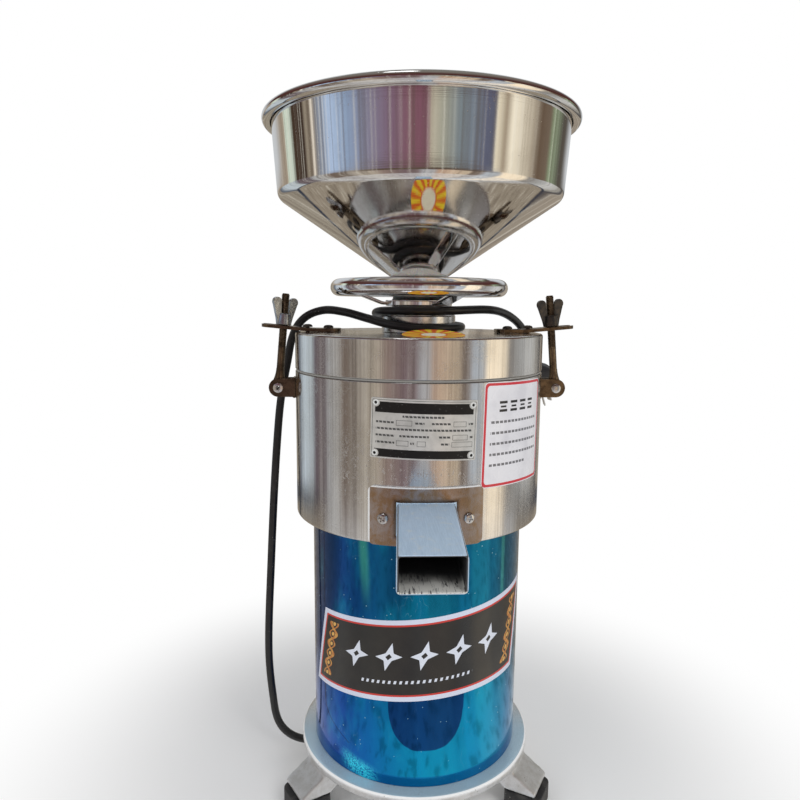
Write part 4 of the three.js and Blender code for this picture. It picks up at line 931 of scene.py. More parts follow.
dataPlate = {
    "width": 89, "tall": 50, "middle": 380.4, "azimuth": -91.3, "tilt": -1.5, "radius": 118.8, "thick": 0.7, "inset": 4,
    # height, left end and right end of each dashed line; middle across, middle up and width of each empty box
    "lines": [(10.6, -18, 16), (5.4, -40, -25), (5.4, -8, 0), (5.4, 6, 22), (5.4, 37, 41), (0, -40, 40), (-5.6, -40, -24),
              (-5.6, -20, 4), (-5.6, 12, 22), (-5.6, 38, 41), (-11.4, -40, -24), (-11.4, -11, -8), (-11.4, 14, 21)],
    "boxes": [(-16.5, 5.2, 13), (29.5, 5.2, 11), (30, -5.8, 13), (-17.5, -11.6, 10), (-2, -11.6, 7), (32, -11.6, 18)],
}


# a label's own coordinates: along it and up it, from its middle, with its tilt taken out
def sheetAxes(f, d):
    c, s = cosine(d["tilt"]), sine(d["tilt"])
    arc, high = f.arc(d["azimuth"], d["radius"]), f.axes()[2] - d["middle"]
    return arc * c + high * s, high * c - arc * s


def plateFinish():
    d = dataPlate
    f = Finish("plateSilver", (0.6, 0.61, 0.62), Metallic=0.85)
    u, v = sheetAxes(f, d)
    box = boxes(u, v)
    frameOf = lambda cu, cv, w, h, line: box(cu, cv, w, h) - box(cu, cv, w - 2 * line, h - 2 * line)
    apart = hypotenuse(abs(u) - (d["width"] / 2 - d["inset"]), abs(v) - (d["tall"] / 2 - d["inset"]))
    bars = (box(0, 17.6, 82, 8.8) | box(0, -20.4, 82, 6.8)) * (apart > 3.4) | (apart < 1.5)
    gaps = (u + v * 0.3) % 3.3 > 0.7
    marks = anyOf([box((left + right) / 2, height, right - left, 1.7) for height, left, right in d["lines"]])
    rules = anyOf([frameOf(0, 0, 86.5, 47.5, 0.35)] + [frameOf(cu, cv, w, 4.4, 0.3) for cu, cv, w in d["boxes"]])
    wear = f.noise(10, 4.0, 0.6)
    ink = (bars | rules | marks * gaps * 0.9) * (1 - (f.noise(1.2, 2.0) > 0.72) * 0.4)
    color = f.layered(
        (0.72, 0.72, 0.7),
        (f.between(wear, 0.35, 0.75), (0.56, 0.56, 0.54)),
        (ink, (0.004, 0.004, 0.004)))
    f.bumped(f.noise((0.4, 0.4, 20), 2.0), 0.02, 0.3)
    return f.paint(color, 0.34 + ink * 0.14 + f.between(wear, 0.3, 0.8) * 0.1, 0.5 - ink * 0.5)


# each rivet is an eyelet whose middle shows the plate's dark print
def makeDataPlate():
    d = dataPlate
    plate = wrapped(d["width"], d["tall"], d["radius"], 1, d["azimuth"], d["middle"], d["tilt"])
    addPiece("dataSheet", plate, plateFinish(), "stand", ["data_plate"], sheet=d["thick"])
    rivet = turned([(1.2, -0.2), (2.6, -0.2), (2.5, 0.5), (1.9, 0.85), (1.3, 0.6)], 24)
    c, s = cosine(d["tilt"]), sine(d["tilt"])
    rivets = []
    for side, up in ((-1, -1), (-1, 1), (1, -1), (1, 1)):
        u, v = side * (d["width"] / 2 - d["inset"]), up * (d["tall"] / 2 - d["inset"])
        azimuth = d["azimuth"] + np.degrees((u * c - v * s) / d["radius"])
        rivets.append(placed(rivet, screwAt(azimuth, d["radius"] + 0.6, d["middle"] + u * s + v * c)))
    addPiece("dataRivets", joined(*rivets), rivetWhite, "stand")


# Printed labels: plain generic fields in the photographed colours

cardLabel = {
    "width": 82, "tall": 90, "radius": 118.55, "azimuth": -46.9, "middle": 372.6, "tilt": -1.2, "corner": 4,
    # the title's middles across, and each of its rows: middle up, width and height; then each rule's height and width
    "titleColumns": (-20, -7, 6, 19), "titleRows": [(27.6, 9, 2.2), (24, 6.5, 1.6), (20.6, 9, 2.2)],
    "rules": [(11, 66), (1.8, 67), (-7.4, 66), (-16.6, 67), (-25.8, 46)],
}
# the band's middle line and half height are polynomials of the arc
bandLabel = {"width": 233, "tall": 78, "radius": 102.75, "aside": 0.5, "lean": 0.26,
             "middle": (171.5, 0.09, -0.00015), "half": (38.5, 0.015, 0.00015)}
sunLabel = {"radius": 27, "x": 7, "y": -84, "height": 455.15, "lift": 4.5, "rays": 14}


def cardFinish():
    c = cardLabel
    f = Finish("cardPrint", (0.8, 0.8, 0.8))
    u, v = sheetAxes(f, c)
    box = boxes(u, v)
    # how far outside a rectangle with round corners
    over = lambda w, h, r: (((abs(u) - (w / 2 - r)) | 0.0) ** 2 + ((abs(v) - (h / 2 - r)) | 0.0) ** 2).math("SQRT") - r
    border = (over(80.5, 88.5, 3.5) < 0) * (over(76, 84, 3) > 0)
    title = anyOf([box(cu, *row) for cu in c["titleColumns"] for row in c["titleRows"]])
    rules = anyOf([box((width - 67) / 2, height, width, 2.2) for height, width in c["rules"]])
    rules = rules * ((u + v * 0.1) % 4.7 > 1.1)
    cloud = f.noise(22, 3.0)
    color = f.layered(
        (0.8, 0.79, 0.82),
        (f.between(cloud, 0.35, 0.8), (0.66, 0.65, 0.69)),
        (border, (0.6, 0.03, 0.045)),
        (title, (0.015, 0.015, 0.018)),
        (rules * 0.85, (0.06, 0.06, 0.07)))
    f.bumped(f.noise(9, 2.0), 0.08, 0.3)
    return f.paint(color, 0.25 + f.between(cloud, 0.3, 0.8) * 0.12)


# five stars, a dotted line and two wavy ornaments, on coordinates that follow the band's bent outline
def bandFinish():
    b = bandLabel
    f = Finish("bandPrint", (0.03, 0.03, 0.03), Coat_Weight=0.25, Coat_Roughness=0.15)
    z = f.axes()[2]
    arc = f.arc(-90, b["radius"])
    curve = lambda terms: arc * terms[1] + arc * arc * terms[2] + terms[0]
    v = (z - curve(b["middle"])) / curve(b["half"]) * (b["tall"] / 2)
    u = arc - b["aside"] - v * b["lean"]
    box = boxes(u, v)
    lozenge = lambda cu, w, h: (abs(u - cu) / (w / 2) + abs(v - 4) / (h / 2)) < 1
    inner = box(0, 0, b["width"] - 9, b["tall"] - 9)
    stars = anyOf([(lozenge(cu, 25, 10) | lozenge(cu, 10, 27)) * (1 - lozenge(cu, 6, 6))
                   | lozenge(cu, 15, 15) * (1 - lozenge(cu, 11.5, 11.5)) for cu in (-64, -32, 0, 32, 64)])
    dots = (abs((u + 1.5) % 5.2 - 2.6) < 1.15) * (abs(v + 20.5) < 1.5) * (abs(u) < 52)
    wave = (v * (tau / 21)).math("SINE") * 5
    side = abs(u) - (b["width"] / 2 - 19)
    scroll = (abs(side - wave) < 2.2) * (abs(v) < 28) | (abs(side + wave) < 1.1) * (abs(v) < 28)
    bead = v % 10.5 - 5.25
    color = f.layered(
        (0.012, 0.011, 0.01),
        (f.between(f.noise(30, 3.0), 0.4, 0.8), (0.024, 0.021, 0.016)),
        (scroll, f.mixed(f.noise(3, 2.0) > 0.5, (0.5, 0.17, 0.03), (0.62, 0.3, 0.06))),
        ((bead * bead + side * side < 4) * (abs(v) < 28), (0.75, 0.42, 0.1)),
        (stars | dots, (0.74, 0.78, 0.88)),
        (inner - box(0, 0, b["width"] - 13, b["tall"] - 12.5), (0.62, 0.035, 0.025)),
        (1 - inner, (0.7, 0.74, 0.88)))
    f.bumped(f.noise((26, 26, 60), 2.0), 0.12, 0.3)
    return f.paint(color, 0.24 + f.noise(16) * 0.1)


# rays: a sine of the angle about the sticker's middle, and a plain pale centre
def sunFinish():
    s = sunLabel
    f = Finish("sunPrint", (0.8, 0.6, 0.1))
    x, y, z = f.axes()
    dx, dy = x - s["x"], y - s["y"]
    radius = hypotenuse(dx, dy)
    color = f.layered(
        (0.86, 0.62, 0.03),
        ((dy.math("ARCTAN2", dx) * s["rays"]).math("SINE") > 0, (0.72, 0.13, 0.02)),
        (radius < 11, (0.85, 0.8, 0.62)),
        (abs(radius - 11.5) < 0.8, (0.7, 0.12, 0.03)),
        (f.between(f.noise(7), 0.6, 0.8) * 0.4, (0.55, 0.4, 0.3)))
    return f.paint(color, 0.3 + f.noise(9) * 0.12)


def makeLabels():
    c, b, s = cardLabel, bandLabel, sunLabel
    card = wrapped(c["width"], c["tall"], c["radius"], c["corner"], c["azimuth"], c["middle"], c["tilt"])
    addPiece("cardLabel", card, cardFinish(), sheet=0.15)
    up = np.linspace(-1, 1, 13)[:, None]
    arc = b["aside"] + np.linspace(-1, 1, 121) * b["width"] / 2 + up * b["lean"] * b["tall"] / 2
    curve = lambda terms: terms[0] + terms[1] * arc + terms[2] * arc ** 2
    band = polar(b["radius"], arc / b["radius"] - np.pi / 2, curve(b["middle"]) + up * curve(b["half"]))
    addPiece("bandLabel", woven(band), bandFinish(), sheet=0.15)
    # a disc whose far edge curls up with the square of the distance from its near edge
    disc = polar(np.linspace(0, s["radius"], 14)[:, None], circle(72), 0)
    disc[..., 2] = s["height"] + s["lift"] * ((disc[..., 1] + s["radius"]) / (2 * s["radius"])) ** 2
    addPiece("sunLabel", woven(disc + [s["x"], s["y"], 0], False, True), sunFinish(), sheet=0.12)


# Clamps: right-hand forms; the left side is the same turned half round

clamp = {"pivot": (135.5, 401), "lean": 5.2, "grip": 60, "eye": 7.5, "eyeThick": 8, "bolt": 3.9, "boltLong": 90.4,
         "ear": (9, 2.6, 5.6), "base": (118.8, 2.5, 13.8, 20), "pin": 3, "pinHead": 4.8, "pinReach": 7.2, "hole": 3.3,
         "neck": (5.2, 13, 2.6), "shank": (16, 40), "thread": (38, 1.25, 0.5)}
lug = {"inner": 75, "reach": 150, "width": 25, "thick": 3, "slot": 9, "tip": 7, "flatTop": 458.3, "screws": (87, 107)}


# where the bolt's axis crosses the raised part of the lug
def gripPoint():
    (x, z), lean, grip = clamp["pivot"], clamp["lean"], clamp["grip"]
    return x - grip * sine(lean), z + grip * cosine(lean)


def makeBracket(side, spin):
    c = clamp
    x0, thick, wide, tall = c["base"]
    px, pz = c["pivot"]
    radius, earThick, offset = c["ear"]
    nose = oval(px, pz, radius, radius, np.linspace(-90, 90, 17))
    ear = np.vstack([[(x0 + 0.4, pz - radius)], nose, [(x0 + 0.4, pz + radius)]])
    base = block(thick, wide, tall, x0 + thick / 2, 0, pz)
    ears = [widened(ear, earThick, sign * offset) for sign in (-1, 1)]
    hole = placed(rod(c["hole"], -12, 12, 32), move(px, 0, pz), turn(90, "X"))
    addPiece(f"{side}Bracket", placed(base, spin), metals["browned"], "stand", [f"clamp_bracket_{side}"],
             unions=[placed(e, spin) for e in ears], cuts=[placed(hole, spin)], bevel=0.5)


# the left pin is an open tubular rivet, the right one has two domed heads
def makePin(side, sign):
    head, pin, reach = [clamp[key] for key in ("pinHead", "pin", "pinReach")]
    if side == "left":
        half = [(pin, reach), (head, reach), (head, reach + 0.9), (1.9, reach + 1.6)]
        outline = rounded([(r, -z) for r, z in half[::-1]] + half, [0.5, 0.4, 0.2, 0, 0, 0.2, 0.4, 0.5], 4)
    else:
        dome = oval(0, reach + 0.2, head, 1.6, np.linspace(0, 90, 9))
        outline = np.vstack([[(0, -reach - 1.6)], dome[::-1][1:] * [1, -1], [(pin, -reach), (pin, reach)], dome[:-1],
                             [(0, reach + 1.8)]])
    shape = placed(turned(outline, 40), move(sign * clamp["pivot"][0], 0, clamp["pivot"][1]), turn(90, "X"))
    addPiece(f"{side}Pin", shape, metals["bright"], "stand", [f"pivot_pin_{side}"])


# the lug lies on the lid and bends up square to the bolt: its height is the larger of the two, eased at the bend
def lugTop(x):
    crossX, crossZ = gripPoint()
    rise = crossZ + (x - crossX) * tangent(clamp["lean"]) - lug["flatTop"]
    return lug["flatTop"] + (rise + np.sqrt(rise ** 2 + 0.05)) / 2


def makeLug(side, spin):
    g = lug
    bend = g["tip"] * (1 - np.cos(np.linspace(0, np.pi / 2, 8)))
    straight = np.linspace(g["inner"] + g["tip"], g["reach"] - g["tip"], 30)[1:-1]
    x = np.concatenate([g["inner"] + bend, straight, (g["reach"] - bend)[::-1]])
    fromEnd = np.minimum(x - g["inner"], g["reach"] - x)
    inset = g["tip"] - np.sqrt(np.maximum(g["tip"] ** 2 - np.maximum(g["tip"] - fromEnd, 0) ** 2, 0))
    half, top = g["width"] / 2 - inset, lugTop(x)
    sides = ((-1, 0), (1, 0), (1, g["thick"]), (-1, g["thick"]))
    rows = np.stack([np.column_stack([x, s * half, top - d]) for s, d in sides], 1)
    near, far = gripPoint()[0] - g["slot"] / 2, g["reach"] + 20
    slot = rounded(oblong(near, far, -g["slot"] / 2, g["slot"] / 2), [4.4, 0, 0, 4.4], 8)
    holes = [placed(rod(screws["hole"], 440, 470, 20), move(sx, 0, 0)) for sx in g["screws"]]
    cuts = [placed(shape, spin) for shape in [raised(slot, 440, 480)] + holes]
    addPiece(f"{side}Lug", placed(lofted(rows), spin), metals["browned"], "stand", [f"clamp_lug_{side}"],
             cuts=cuts, bevel=0.4)
    for place, sx in zip(("inner", "outer"), g["screws"]):
        matrix = spin @ move(sx, 0, float(lugTop(sx + 4.8)) + 0.3)
        addScrew(f"lug_screw_{side}_{place}", matrix, metals["dark"], 25 + sx)


# a ring about Y for the eye, a neck that narrows to the rod, and the thread on the rod's upper part
def makeBolt(side, seat):
    c = clamp
    half, bolt, long = c["eyeThick"] / 2, c["bolt"], c["boltLong"]
    foot, rise, flare = c["neck"]
    start, pitch, depth = c["thread"]
    eye = placed(turned(rounded(oblong(c["hole"], c["eye"], -half, half), [0.5, 1.6, 1.6, 0.5]), 48), turn(90, "X"))
    t = np.linspace(0, 1, 12)[:, None]
    around = circle(32)
    wide, deep = bolt + flare * (1 - t) ** 2, min(half - 0.4, bolt)
    neck = np.stack(np.broadcast_arrays(wide * np.cos(around), deep * np.sin(around), foot + rise * t), -1)
    shank = turned(oblong(0, bolt - 0.25, *c["shank"]), 32)
    thread = threaded(bolt, 0.0, start, long - 0.8, pitch, depth, 28, 6)
    tip = turned([(0, long - 1), (bolt - 0.55, long - 1), (bolt - 1.1, long), (0, long)], 28)
    addPiece(f"{side}Bolt", placed(joined(eye, lofted(neck), shank, thread, tip), seat), metals["browned"], f"clamp_{side}",
             [f"swing_bolt_{side}"])


wingNut = {"hub": [(3.6, 0), (7.5, 0), (6.1, 11), (3.6, 11)], "edges": [0.3, 0.7, 1.4, 0.4], "bore": 4.2, "lift": 0.5,
           "root": [(3.2, 0.6), (7.4, 0.6), (8.6, 6)], "tip": (9.1, 21.6, 4.4, 4.4), "notch": (4.4, 12), "thick": 3.2}


# wings: an outline that widens from its root to a round tip; the bevel thins its edge
def makeWingNut(side, seat, spin, finish):
    n = wingNut
    outline = np.vstack([n["root"], oval(*n["tip"], np.linspace(-35, 165, 22)), [n["notch"]]])
    wings = [placed(widened(outline, n["thick"]), turn(a)) for a in (0, 180)]
    hub = turned(rounded(n["hub"], n["edges"]), 48)
    matrix = seat @ move(0, 0, clamp["grip"] + n["lift"]) @ turn(spin)
    addPiece(f"{side}WingNut", placed(hub, matrix), finish, f"nut_{side}", [f"wing_nut_{side}"],
             unions=[placed(w, matrix) for w in wings], cuts=[placed(rod(n["bore"], -2, 30, 32), matrix)], bevel=0.8)


def makeClamps():
    for side, half, spin, nut, slot in (("right", 0, 12, "dark", "dark_steel"), ("left", 180, 39, "zinc", "zinc_plate")):
        base = turn(half)
        seat = base @ move(clamp["pivot"][0], 0, clamp["pivot"][1]) @ turn(-clamp["lean"], "Y")
        makeBracket(side, base)
        makePin(side, 1 if side == "right" else -1)
        makeLug(side, base)
        makeBolt(side, seat)
        makeWingNut(side, seat, spin, metals[nut])


# Motor casing, base casting, pads and switch

base = {"outline": [(50, 8), (56, 8), (56, 39), (116, 39), (116, 48.3), (50, 48.3)], "edges": [1, 1, 4, 2.4, 1.4, 1.2],
        "leg": [(78, 39.3), (108, 18.3), (137, 18.3), (137, 23.3), (112, 39), (112, 39.6), (78, 44)], "legWidth": 37,
        "legs": (90, 210, 330), "seat": (5, 26, 14), "seats": (-20, 20), "seatMiddle": 51, "capacitor": (17.3, 72, 65.6),
        "cordHole": 6.6, "voxel": 1.3}
pads = {"long": 37, "wide": 38, "tall": 18, "reach": 142, "corner": 8}
switch = {"azimuth": 52, "height": 98, "bezel": (28, 21, 2.5), "body": (24, 17, 17), "well": (20.4, 13.6, 9.5),
          "rocker": (9, 13), "tip": 10}
switchPlace = turn(switch["azimuth"]) @ move(casing["radius"] + 0.3, 0, switch["height"]) @ turn(90, "Y")
glandPlace = turn(170) @ move(56, 0, 17) @ turn(90, "Y")


def makeCasing():
    c = casing
    tall, wide, deep = switch["body"]
    outline = rounded(oblong(c["radius"] - c["wall"], c["radius"], c["low"], c["high"]), 0.4)
    hole = placed(block(tall + 0.6, wide + 0.6, deep, 0, 0, -5.5), switchPlace)
    addPiece("filmCasing", turned(outline, 192), blueFilmFinish(), "stand", ["motor_casing"], cuts=[hole])


def makeBase():
    b, p = base, pads
    legs = [placed(widened(b["leg"], b["legWidth"]), turn(a)) for a in b["legs"]]
    radius, y, z = b["capacitor"]
    seats = [block(*b["seat"], x, y, b["seatMiddle"]) for x in b["seats"]]
    bed = placed(rod(radius, -40, 40, 40), move(0, y, z), turn(90, "Y"))
    addPiece("baseCasting", turned(rounded(b["outline"], b["edges"], 5), 160), castAluminium, "stand", ["base_casting"],
             unions=legs + seats, cuts=[bed, placed(rod(b["cordHole"], -9, 9, 24), glandPlace)],
             voxel=b["voxel"])
    outline = rectangle(p["long"], p["wide"], p["corner"], 8) + [p["reach"] - p["long"] / 2, 0]
    for number, azimuth in enumerate(b["legs"], 1):
        addPiece(f"rubberPad{number}", placed(raised(outline, 0, p["tall"]), turn(azimuth)), padRubber, "stand",
                 [f"foot_pad_{number}"], bevel=1.2)


def makeSwitch():
    s = switch
    tall, wide, thick = s["bezel"]
    bezel = raised(rectangle(tall, wide, 2.5), 0, thick)
    half, width = s["rocker"]
    well = block(*s["well"], 0, 0, thick - 1.75)
    body = block(*s["body"], 0, 0, (thick - s["body"][2]) / 2 - 0.2)
    addPiece("switchFrame", placed(bezel, switchPlace), blackPlastic, "stand", ["switch_housing"],
             unions=[placed(body, switchPlace)], cuts=[placed(well, switchPlace)], bevel=0.5)
    t = np.linspace(1, -1, 15)
    rocker = np.vstack([[(-half, -1.6), (0, -4), (half, -1.6)], np.column_stack([half * t, 1 + 1.2 * t ** 2])])
    matrix = switchPlace @ move(0, 0, thick - 1.6) @ turn(s["tip"], "Y")
    addPiece("switchKey", placed(widened(rocker, width), matrix), redPlastic, "switch_key", ["switch_rocker"],
             bevel=0.5)


# Gland and plug of the cord

gland = {"nut": (9, 6), "body": 6.3, "tip": 4.9, "taper": 26, "ribs": 7}
plug = {"pin": (6.3, 1.6, 17), "spread": 7.9, "lean": 30, "earth": 6,
        "depth": [0, 1, 4, 8, 12, 15, 16.5, 18.5, 21, 23.5, 26, 31, 38, 43.5, 45.3, 46],
        "wide": [9.2, 10.4, 11, 11.8, 12.4, 13.2, 17, 23, 28.5, 32.4, 34.2, 35, 34.8, 34, 33, 31],
        "thick": [9.2, 10.4, 11, 11.8, 12.4, 13, 14.6, 17, 18.8, 20.2, 20.8, 21, 20.8, 20.2, 19.2, 17.4]}


# the taper's radius is cut by a groove once for each rib
def makeGland():
    g = gland
    radius, nut = g["nut"]
    end = nut + g["taper"]
    z = np.linspace(nut, end, 85)
    r = np.interp(z, [nut, end], [g["body"], g["tip"]])
    r = r - 0.8 * (np.abs(((z - nut) / g["taper"] * g["ribs"]) % 1 - 0.5) < 0.2) * (z > nut + 1) * (z < end - 1)
    outline = np.vstack([[(0, -6), (g["body"], -6), (g["body"], 0.3), (radius - 0.8, 0.3), (radius, 1.1), (radius, nut - 1),
                          (radius - 1, nut)], np.column_stack([r, z]), [(0, end)]])
    addPiece("cordGland", placed(turned(outline, 48), glandPlace), blackPlastic, "stand", ["cord_gland"])


# the body's section swells from the neck over the shoulder and narrows a little at the pins' face
def makePlug():
    p = plug
    heading = (knots[-1] - lefts[-1]) / np.linalg.norm(knots[-1] - lefts[-1])
    # the turn that carries -Z onto the cord's heading by the shortest way
    down = np.array([0.0, 0.0, -1.0])
    axis = np.cross(down, heading)
    k = np.array([[0, -axis[2], axis[1]], [axis[2], 0, -axis[0]], [-axis[1], axis[0], 0]])
    matrix = np.eye(4)
    matrix[:3, :3] = np.eye(3) + k + k @ k / (1 + down @ heading)
    matrix[:3, 3] = knots[-1] + heading * 0.3
    rows = []
    for depth, w, d in zip(p["depth"], p["wide"], p["thick"]):
        section = rectangle(w, d, 0.49 * min(w, d) if depth < 16 else 5.5, 8)
        rows.append(np.column_stack([section, np.full(len(section), -depth)]))
    width, thin, long = p["pin"]
    pin = raised(rectangle(width, thin, 0.7, 3), -46 - long, -44)
    pins = [placed(pin, move(x, y, 0), turn(spin)) for x, y, spin in
            ((p["spread"], 0, 90 + p["lean"]), (-p["spread"], 0, 90 - p["lean"]), (0, -p["earth"], 90))]
    body = placed(lofted(np.stack(rows)), matrix)
    return [addPiece("plugBody", body, blackPlastic, "stand", ["power_plug"]),
            addPiece("plugPins", placed(joined(*pins), matrix), metals["bright"], "stand")]


makeHopper()
makeCollar()
makeHandwheel()
print("hopper and handwheel made")
makeLid()
makePot()
makeOutlet("spout", "milk_spout", spout, False, ("spout_screw_left", "spout_screw_right"))
makeOutlet("chute", "residue_chute", chute, True, ("chute_screw_right", "chute_screw_left"))
makeDataPlate()
makeLabels()
print("pot, lid and outlets made")
makeClamps()
makeCasing()
makeBase()
makeSwitch()
makeGland()
plugPieces = makePlug()
print("clamps, casing and base made")

lead.data.materials.append(cordRubber)
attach(lead, "stand")
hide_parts("power_cord")


# Inner parts keep the frame's meshes and get their finishes

innerFinishes = {
    castAluminium: ["upper_end_shield", "lower_end_shield", "stone_seat"],
    metals["bright"]: ["upper_bearing", "lower_bearing", "motor_shaft", "separator_ring"],
    metals["zinc"]: ["tie_bolt_1", "tie_bolt_2", "tie_bolt_3", "stone_nut"],
    metals["core"]: ["stator_core", "rotor_core"],
    metals["copper"]: ["stator_winding"],
    blackPlastic: ["run_capacitor", "cooling_fan"],
    padRubber: ["shaft_seal"],
    stone: ["lower_stone", "upper_stone"],
    basketSteelFinish(): ["filter_basket"],
}
for finish, names in innerFinishes.items():
    for name in names:
        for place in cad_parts[name].material_slots:
            place.material = finish


# Stage: pale floor and white surroundings, and a drum round the object that only reflections see

stage = {"floor": 6.0, "fade": (0.2, 0.5), "drum": 950, "ceiling": 2300, "worldLevel": 0.62,
         "lights": (("keyLight", (1.1, -1.5, 1.9), 1.2, 16.0), ("fillLight", (-1.6, -1.0, 1.3), 1.4, 7.0))}
# colours by the turn round the axis, 0.5 at the front: level with the hopper, and level with the pot
surroundings = {
    "upper": [
        (0.00, (0.5, 0.47, 0.43)), (0.11, (0.4, 0.33, 0.25)), (0.168, (0.42, 0.35, 0.27)), (0.173, (0.75, 0.86, 0.72)),
        (0.2, (0.62, 0.7, 0.6)), (0.207, (0.07, 0.045, 0.03)), (0.243, (0.06, 0.04, 0.03)), (0.247, (0.4, 0.34, 0.26)),
        (0.258, (0.2, 0.16, 0.12)), (0.261, (0.14, 0.1, 0.07)), (0.268, (1.1, 1.0, 0.85)), (0.276, (0.2, 0.2, 0.22)),
        (0.31, (0.52, 0.66, 0.9)), (0.35, (0.32, 0.42, 0.6)), (0.39, (0.27, 0.26, 0.36)), (0.43, (0.24, 0.16, 0.23)),
        (0.47, (0.25, 0.115, 0.15)), (0.503, (0.23, 0.1, 0.14)), (0.507, (0.6, 0.54, 0.42)), (0.53, (0.42, 0.42, 0.34)),
        (0.56, (0.24, 0.29, 0.32)), (0.6, (0.2, 0.23, 0.3)), (0.608, (0.14, 0.15, 0.22)), (0.628, (0.13, 0.14, 0.2)),
        (0.633, (0.95, 0.85, 0.65)), (0.652, (0.4, 0.32, 0.23)), (0.667, (1.1, 1.0, 0.8)), (0.71, (0.62, 0.54, 0.42)),
        (0.742, (0.16, 0.11, 0.075)), (0.77, (0.2, 0.15, 0.11)), (0.785, (0.3, 0.38, 0.24)), (0.83, (0.1, 0.09, 0.075)),
    ],
    "lower": [
        (0.105, (0.34, 0.3, 0.24)), (0.115, (0.1, 0.12, 0.16)), (0.15, (0.62, 0.7, 0.76)), (0.2, (0.5, 0.56, 0.6)),
        (0.21, (0.16, 0.12, 0.14)), (0.25, (0.2, 0.17, 0.18)), (0.262, (0.5, 0.5, 0.5)), (0.295, (0.42, 0.4, 0.38)),
        (0.305, (0.2, 0.15, 0.12)), (0.34, (0.22, 0.18, 0.15)), (0.352, (0.45, 0.4, 0.34)), (0.392, (0.52, 0.45, 0.36)),
        (0.42, (0.3, 0.22, 0.19)), (0.462, (0.2, 0.14, 0.15)), (0.485, (0.24, 0.18, 0.18)), (0.495, (0.5, 0.5, 0.52)),
        (0.515, (0.46, 0.45, 0.45)), (0.525, (0.55, 0.36, 0.25)), (0.545, (0.7, 0.52, 0.38)), (0.58, (0.72, 0.58, 0.42)),
        (0.59, (0.24, 0.18, 0.14)), (0.608, (0.3, 0.25, 0.22)), (0.618, (0.55, 0.6, 0.66)), (0.645, (0.5, 0.52, 0.54)),
        (0.655, (1.25, 1.05, 0.78)), (0.705, (1.15, 0.98, 0.74)), (0.72, (0.3, 0.28, 0.26)), (0.76, (0.45, 0.45, 0.44)),
        (0.8, (0.66, 0.66, 0.65)), (0.85, (0.4, 0.38, 0.34)), (0.87, (0.05, 0.06, 0.08)), (0.885, (0.36, 0.31, 0.25)),
    ],
}


class StageTree(Finish):
    # nodes on a material or world that isn't a piece's
    def __init__(self, owner, outputKind="ShaderNodeOutputMaterial"):
        owner.use_nodes = True
        self.tree = owner.node_tree
        self.tree.nodes.clear()
        self.output = self.tree.nodes.new(outputKind)
        self.rays = self.tree.nodes.new("ShaderNodeLightPath")

    def ray(self, kind):
        return Wire(self, self.rays.outputs[f"Is {kind} Ray"])

    def ramp(self, share, colors):
        made = self.tree.nodes.new("ShaderNodeValToRGB")
        stops = made.color_ramp.elements
        while len(stops) < len(colors):
            stops.new(0.5)
        for stop, (position, color) in zip(stops, colors):
            stop.position, stop.color = position, (*color, 1)
        self.feed(made.inputs[0], share)
        return Wire(self, made.outputs[0])

    def finished(self, shader):
        self.feed(self.output.inputs[0], shader)


def makeWorld(scene):
    scene.world = bpy.data.worlds.new("whiteStudio")
    w = StageTree(scene.world, "ShaderNodeOutputWorld")
    seen = w.ray("Camera") | w.ray("Glossy") | w.ray("Transmission")
    level = stage["worldLevel"]
    w.finished(w.node("ShaderNodeBackground", {}, {"Color": (1, 1, 1), "Strength": seen * (1 - level) + level}))


# rings of points from the axis outwards, as one surface
def addStagePiece(name, materialName, radii, heights, sides):
    grid = polar(np.array(radii)[:, None], circle(sides), np.broadcast_to(heights, len(radii))[:, None])
    piece = linked(name, meshOf(name, woven(grid, False, True), False))
    material = bpy.data.materials.new(materialName)
    piece.data.materials.append(material)
    return piece, StageTree(material)


# the floor takes shadows near the object and fades to plain white for the camera
def makeFloor():
    piece, f = addStagePiece("floor", "paleFloor", [0, 300, 800, 1500, 3000, stage["floor"] * 1000], -0.5, 96)
    spot = f.node("ShaderNodeTexCoord", out="Object")
    away = f.node("ShaderNodeVectorMath", {"operation": "LENGTH"}, [spot], "Value")
    near = f.node("ShaderNodeBsdfDiffuse", {}, {"Color": (0.9, 0.9, 0.9)})
    share = f.between(away, *stage["fade"]) * f.ray("Camera")
    f.finished(f.node("ShaderNodeMixShader", {}, [share, near, f.node("ShaderNodeEmission")]))
    return piece


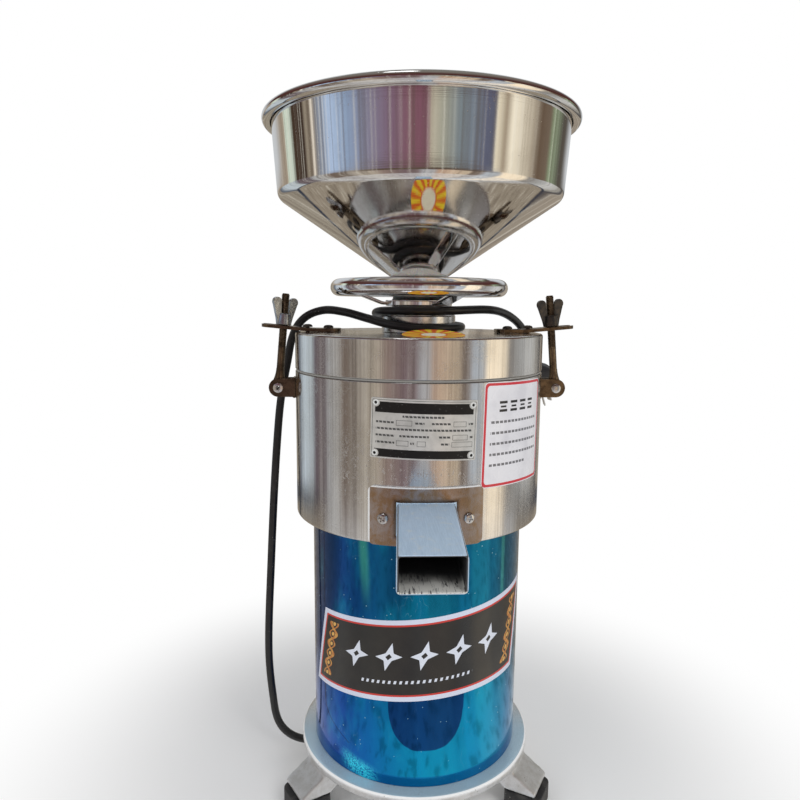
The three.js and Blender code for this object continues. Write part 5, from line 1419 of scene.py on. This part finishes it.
# the drum: floor, wall and ceiling as one surface turned round the axis, in millimetres
def makeDrum():
    rim, top = stage["drum"], stage["ceiling"]
    radii = [0, rim * 0.4, rim, rim, rim, rim, rim * 0.4, 0]
    heights = [0.6, 0.6, 0.6, 500, 1200, top, top, top]
    piece, f = addStagePiece("reflectedRoom", "reflectedRoom", radii, heights, 128)
    f.locate()
    x, y, z = f.axes()
    share = f.arc(-90, 1 / tau) + 0.5
    upper, lower = [f.ramp(share, surroundings[name]) for name in ("upper", "lower")]
    ground = f.layered(
        lower,
        (0.45, (0.85, 0.86, 0.88)),
        (f.between(y, -120, 160), (0.34, 0.29, 0.225)),
        (f.between(hypotenuse(x, y), 340, 180) * 0.5, (0.8, 0.82, 0.84)))
    streak = f.noise((34, 34, 6000), 3.0, 0.7)
    # the upper colours end a little higher towards the sides, and dusk lies above them
    edge = (y + rim) * 0.07 + 726
    dusk = f.mixed(f.between(z, 900, 1900), (0.085, 0.032, 0.028), (0.2, 0.17, 0.15))
    wall = f.layered(
        lower,
        (f.between(z, 40, 2), ground),
        (f.between(abs(z - 42), 34, 14) * f.between(y, -150, 250), (0.035, 0.045, 0.07)),
        (f.between(y, -480, -850) * f.between(z, 540, 560), (0.12, 0.085, 0.065)),
        (f.between(z, 606, 632), upper),
        (f.between(streak, 0.53, 0.6) * 0.5, (0.13, 0.1, 0.08)),
        (f.between(streak, 0.42, 0.36) * 0.4, (0.9, 0.86, 0.76)),
        (f.between(z - edge, -6, 22), dusk),
        (f.between(z, 640, 760) * f.between(y, 520, 760), (0.6, 0.62, 0.64)))
    skylight = f.between((x + 300) * (x + 300) + (y + 520) * (y + 520), 70000, 50000)
    overhead = f.mixed(skylight, (0.22, 0.21, 0.19), (3.4, 3.5, 3.6))
    f.finished(f.node("ShaderNodeEmission", {}, {"Color": f.mixed(z > top - 5, wall, overhead)}))
    for name in ("camera", "diffuse", "transmission", "shadow", "volume_scatter"):
        setattr(piece, "visible_" + name, False)
    return piece


def makeLights():
    for name, place, size, power in stage["lights"]:
        light = bpy.data.lights.new(name, "AREA")
        light.shape, light.size, light.energy = "DISK", size, power
        lamp = linked(name, light)
        aim = Vector(np.array([0, 0, 0.33]) - place)
        lamp.matrix_world = Matrix.Translation(place) @ aim.to_track_quat("-Z", "Y").to_matrix().to_4x4()
        lamp.visible_glossy = False


makeWorld(bpy.context.scene)
makeFloor()
makeDrum()
makeLights()
bpy.context.scene.view_settings.view_transform = "Standard"
print("stage set")
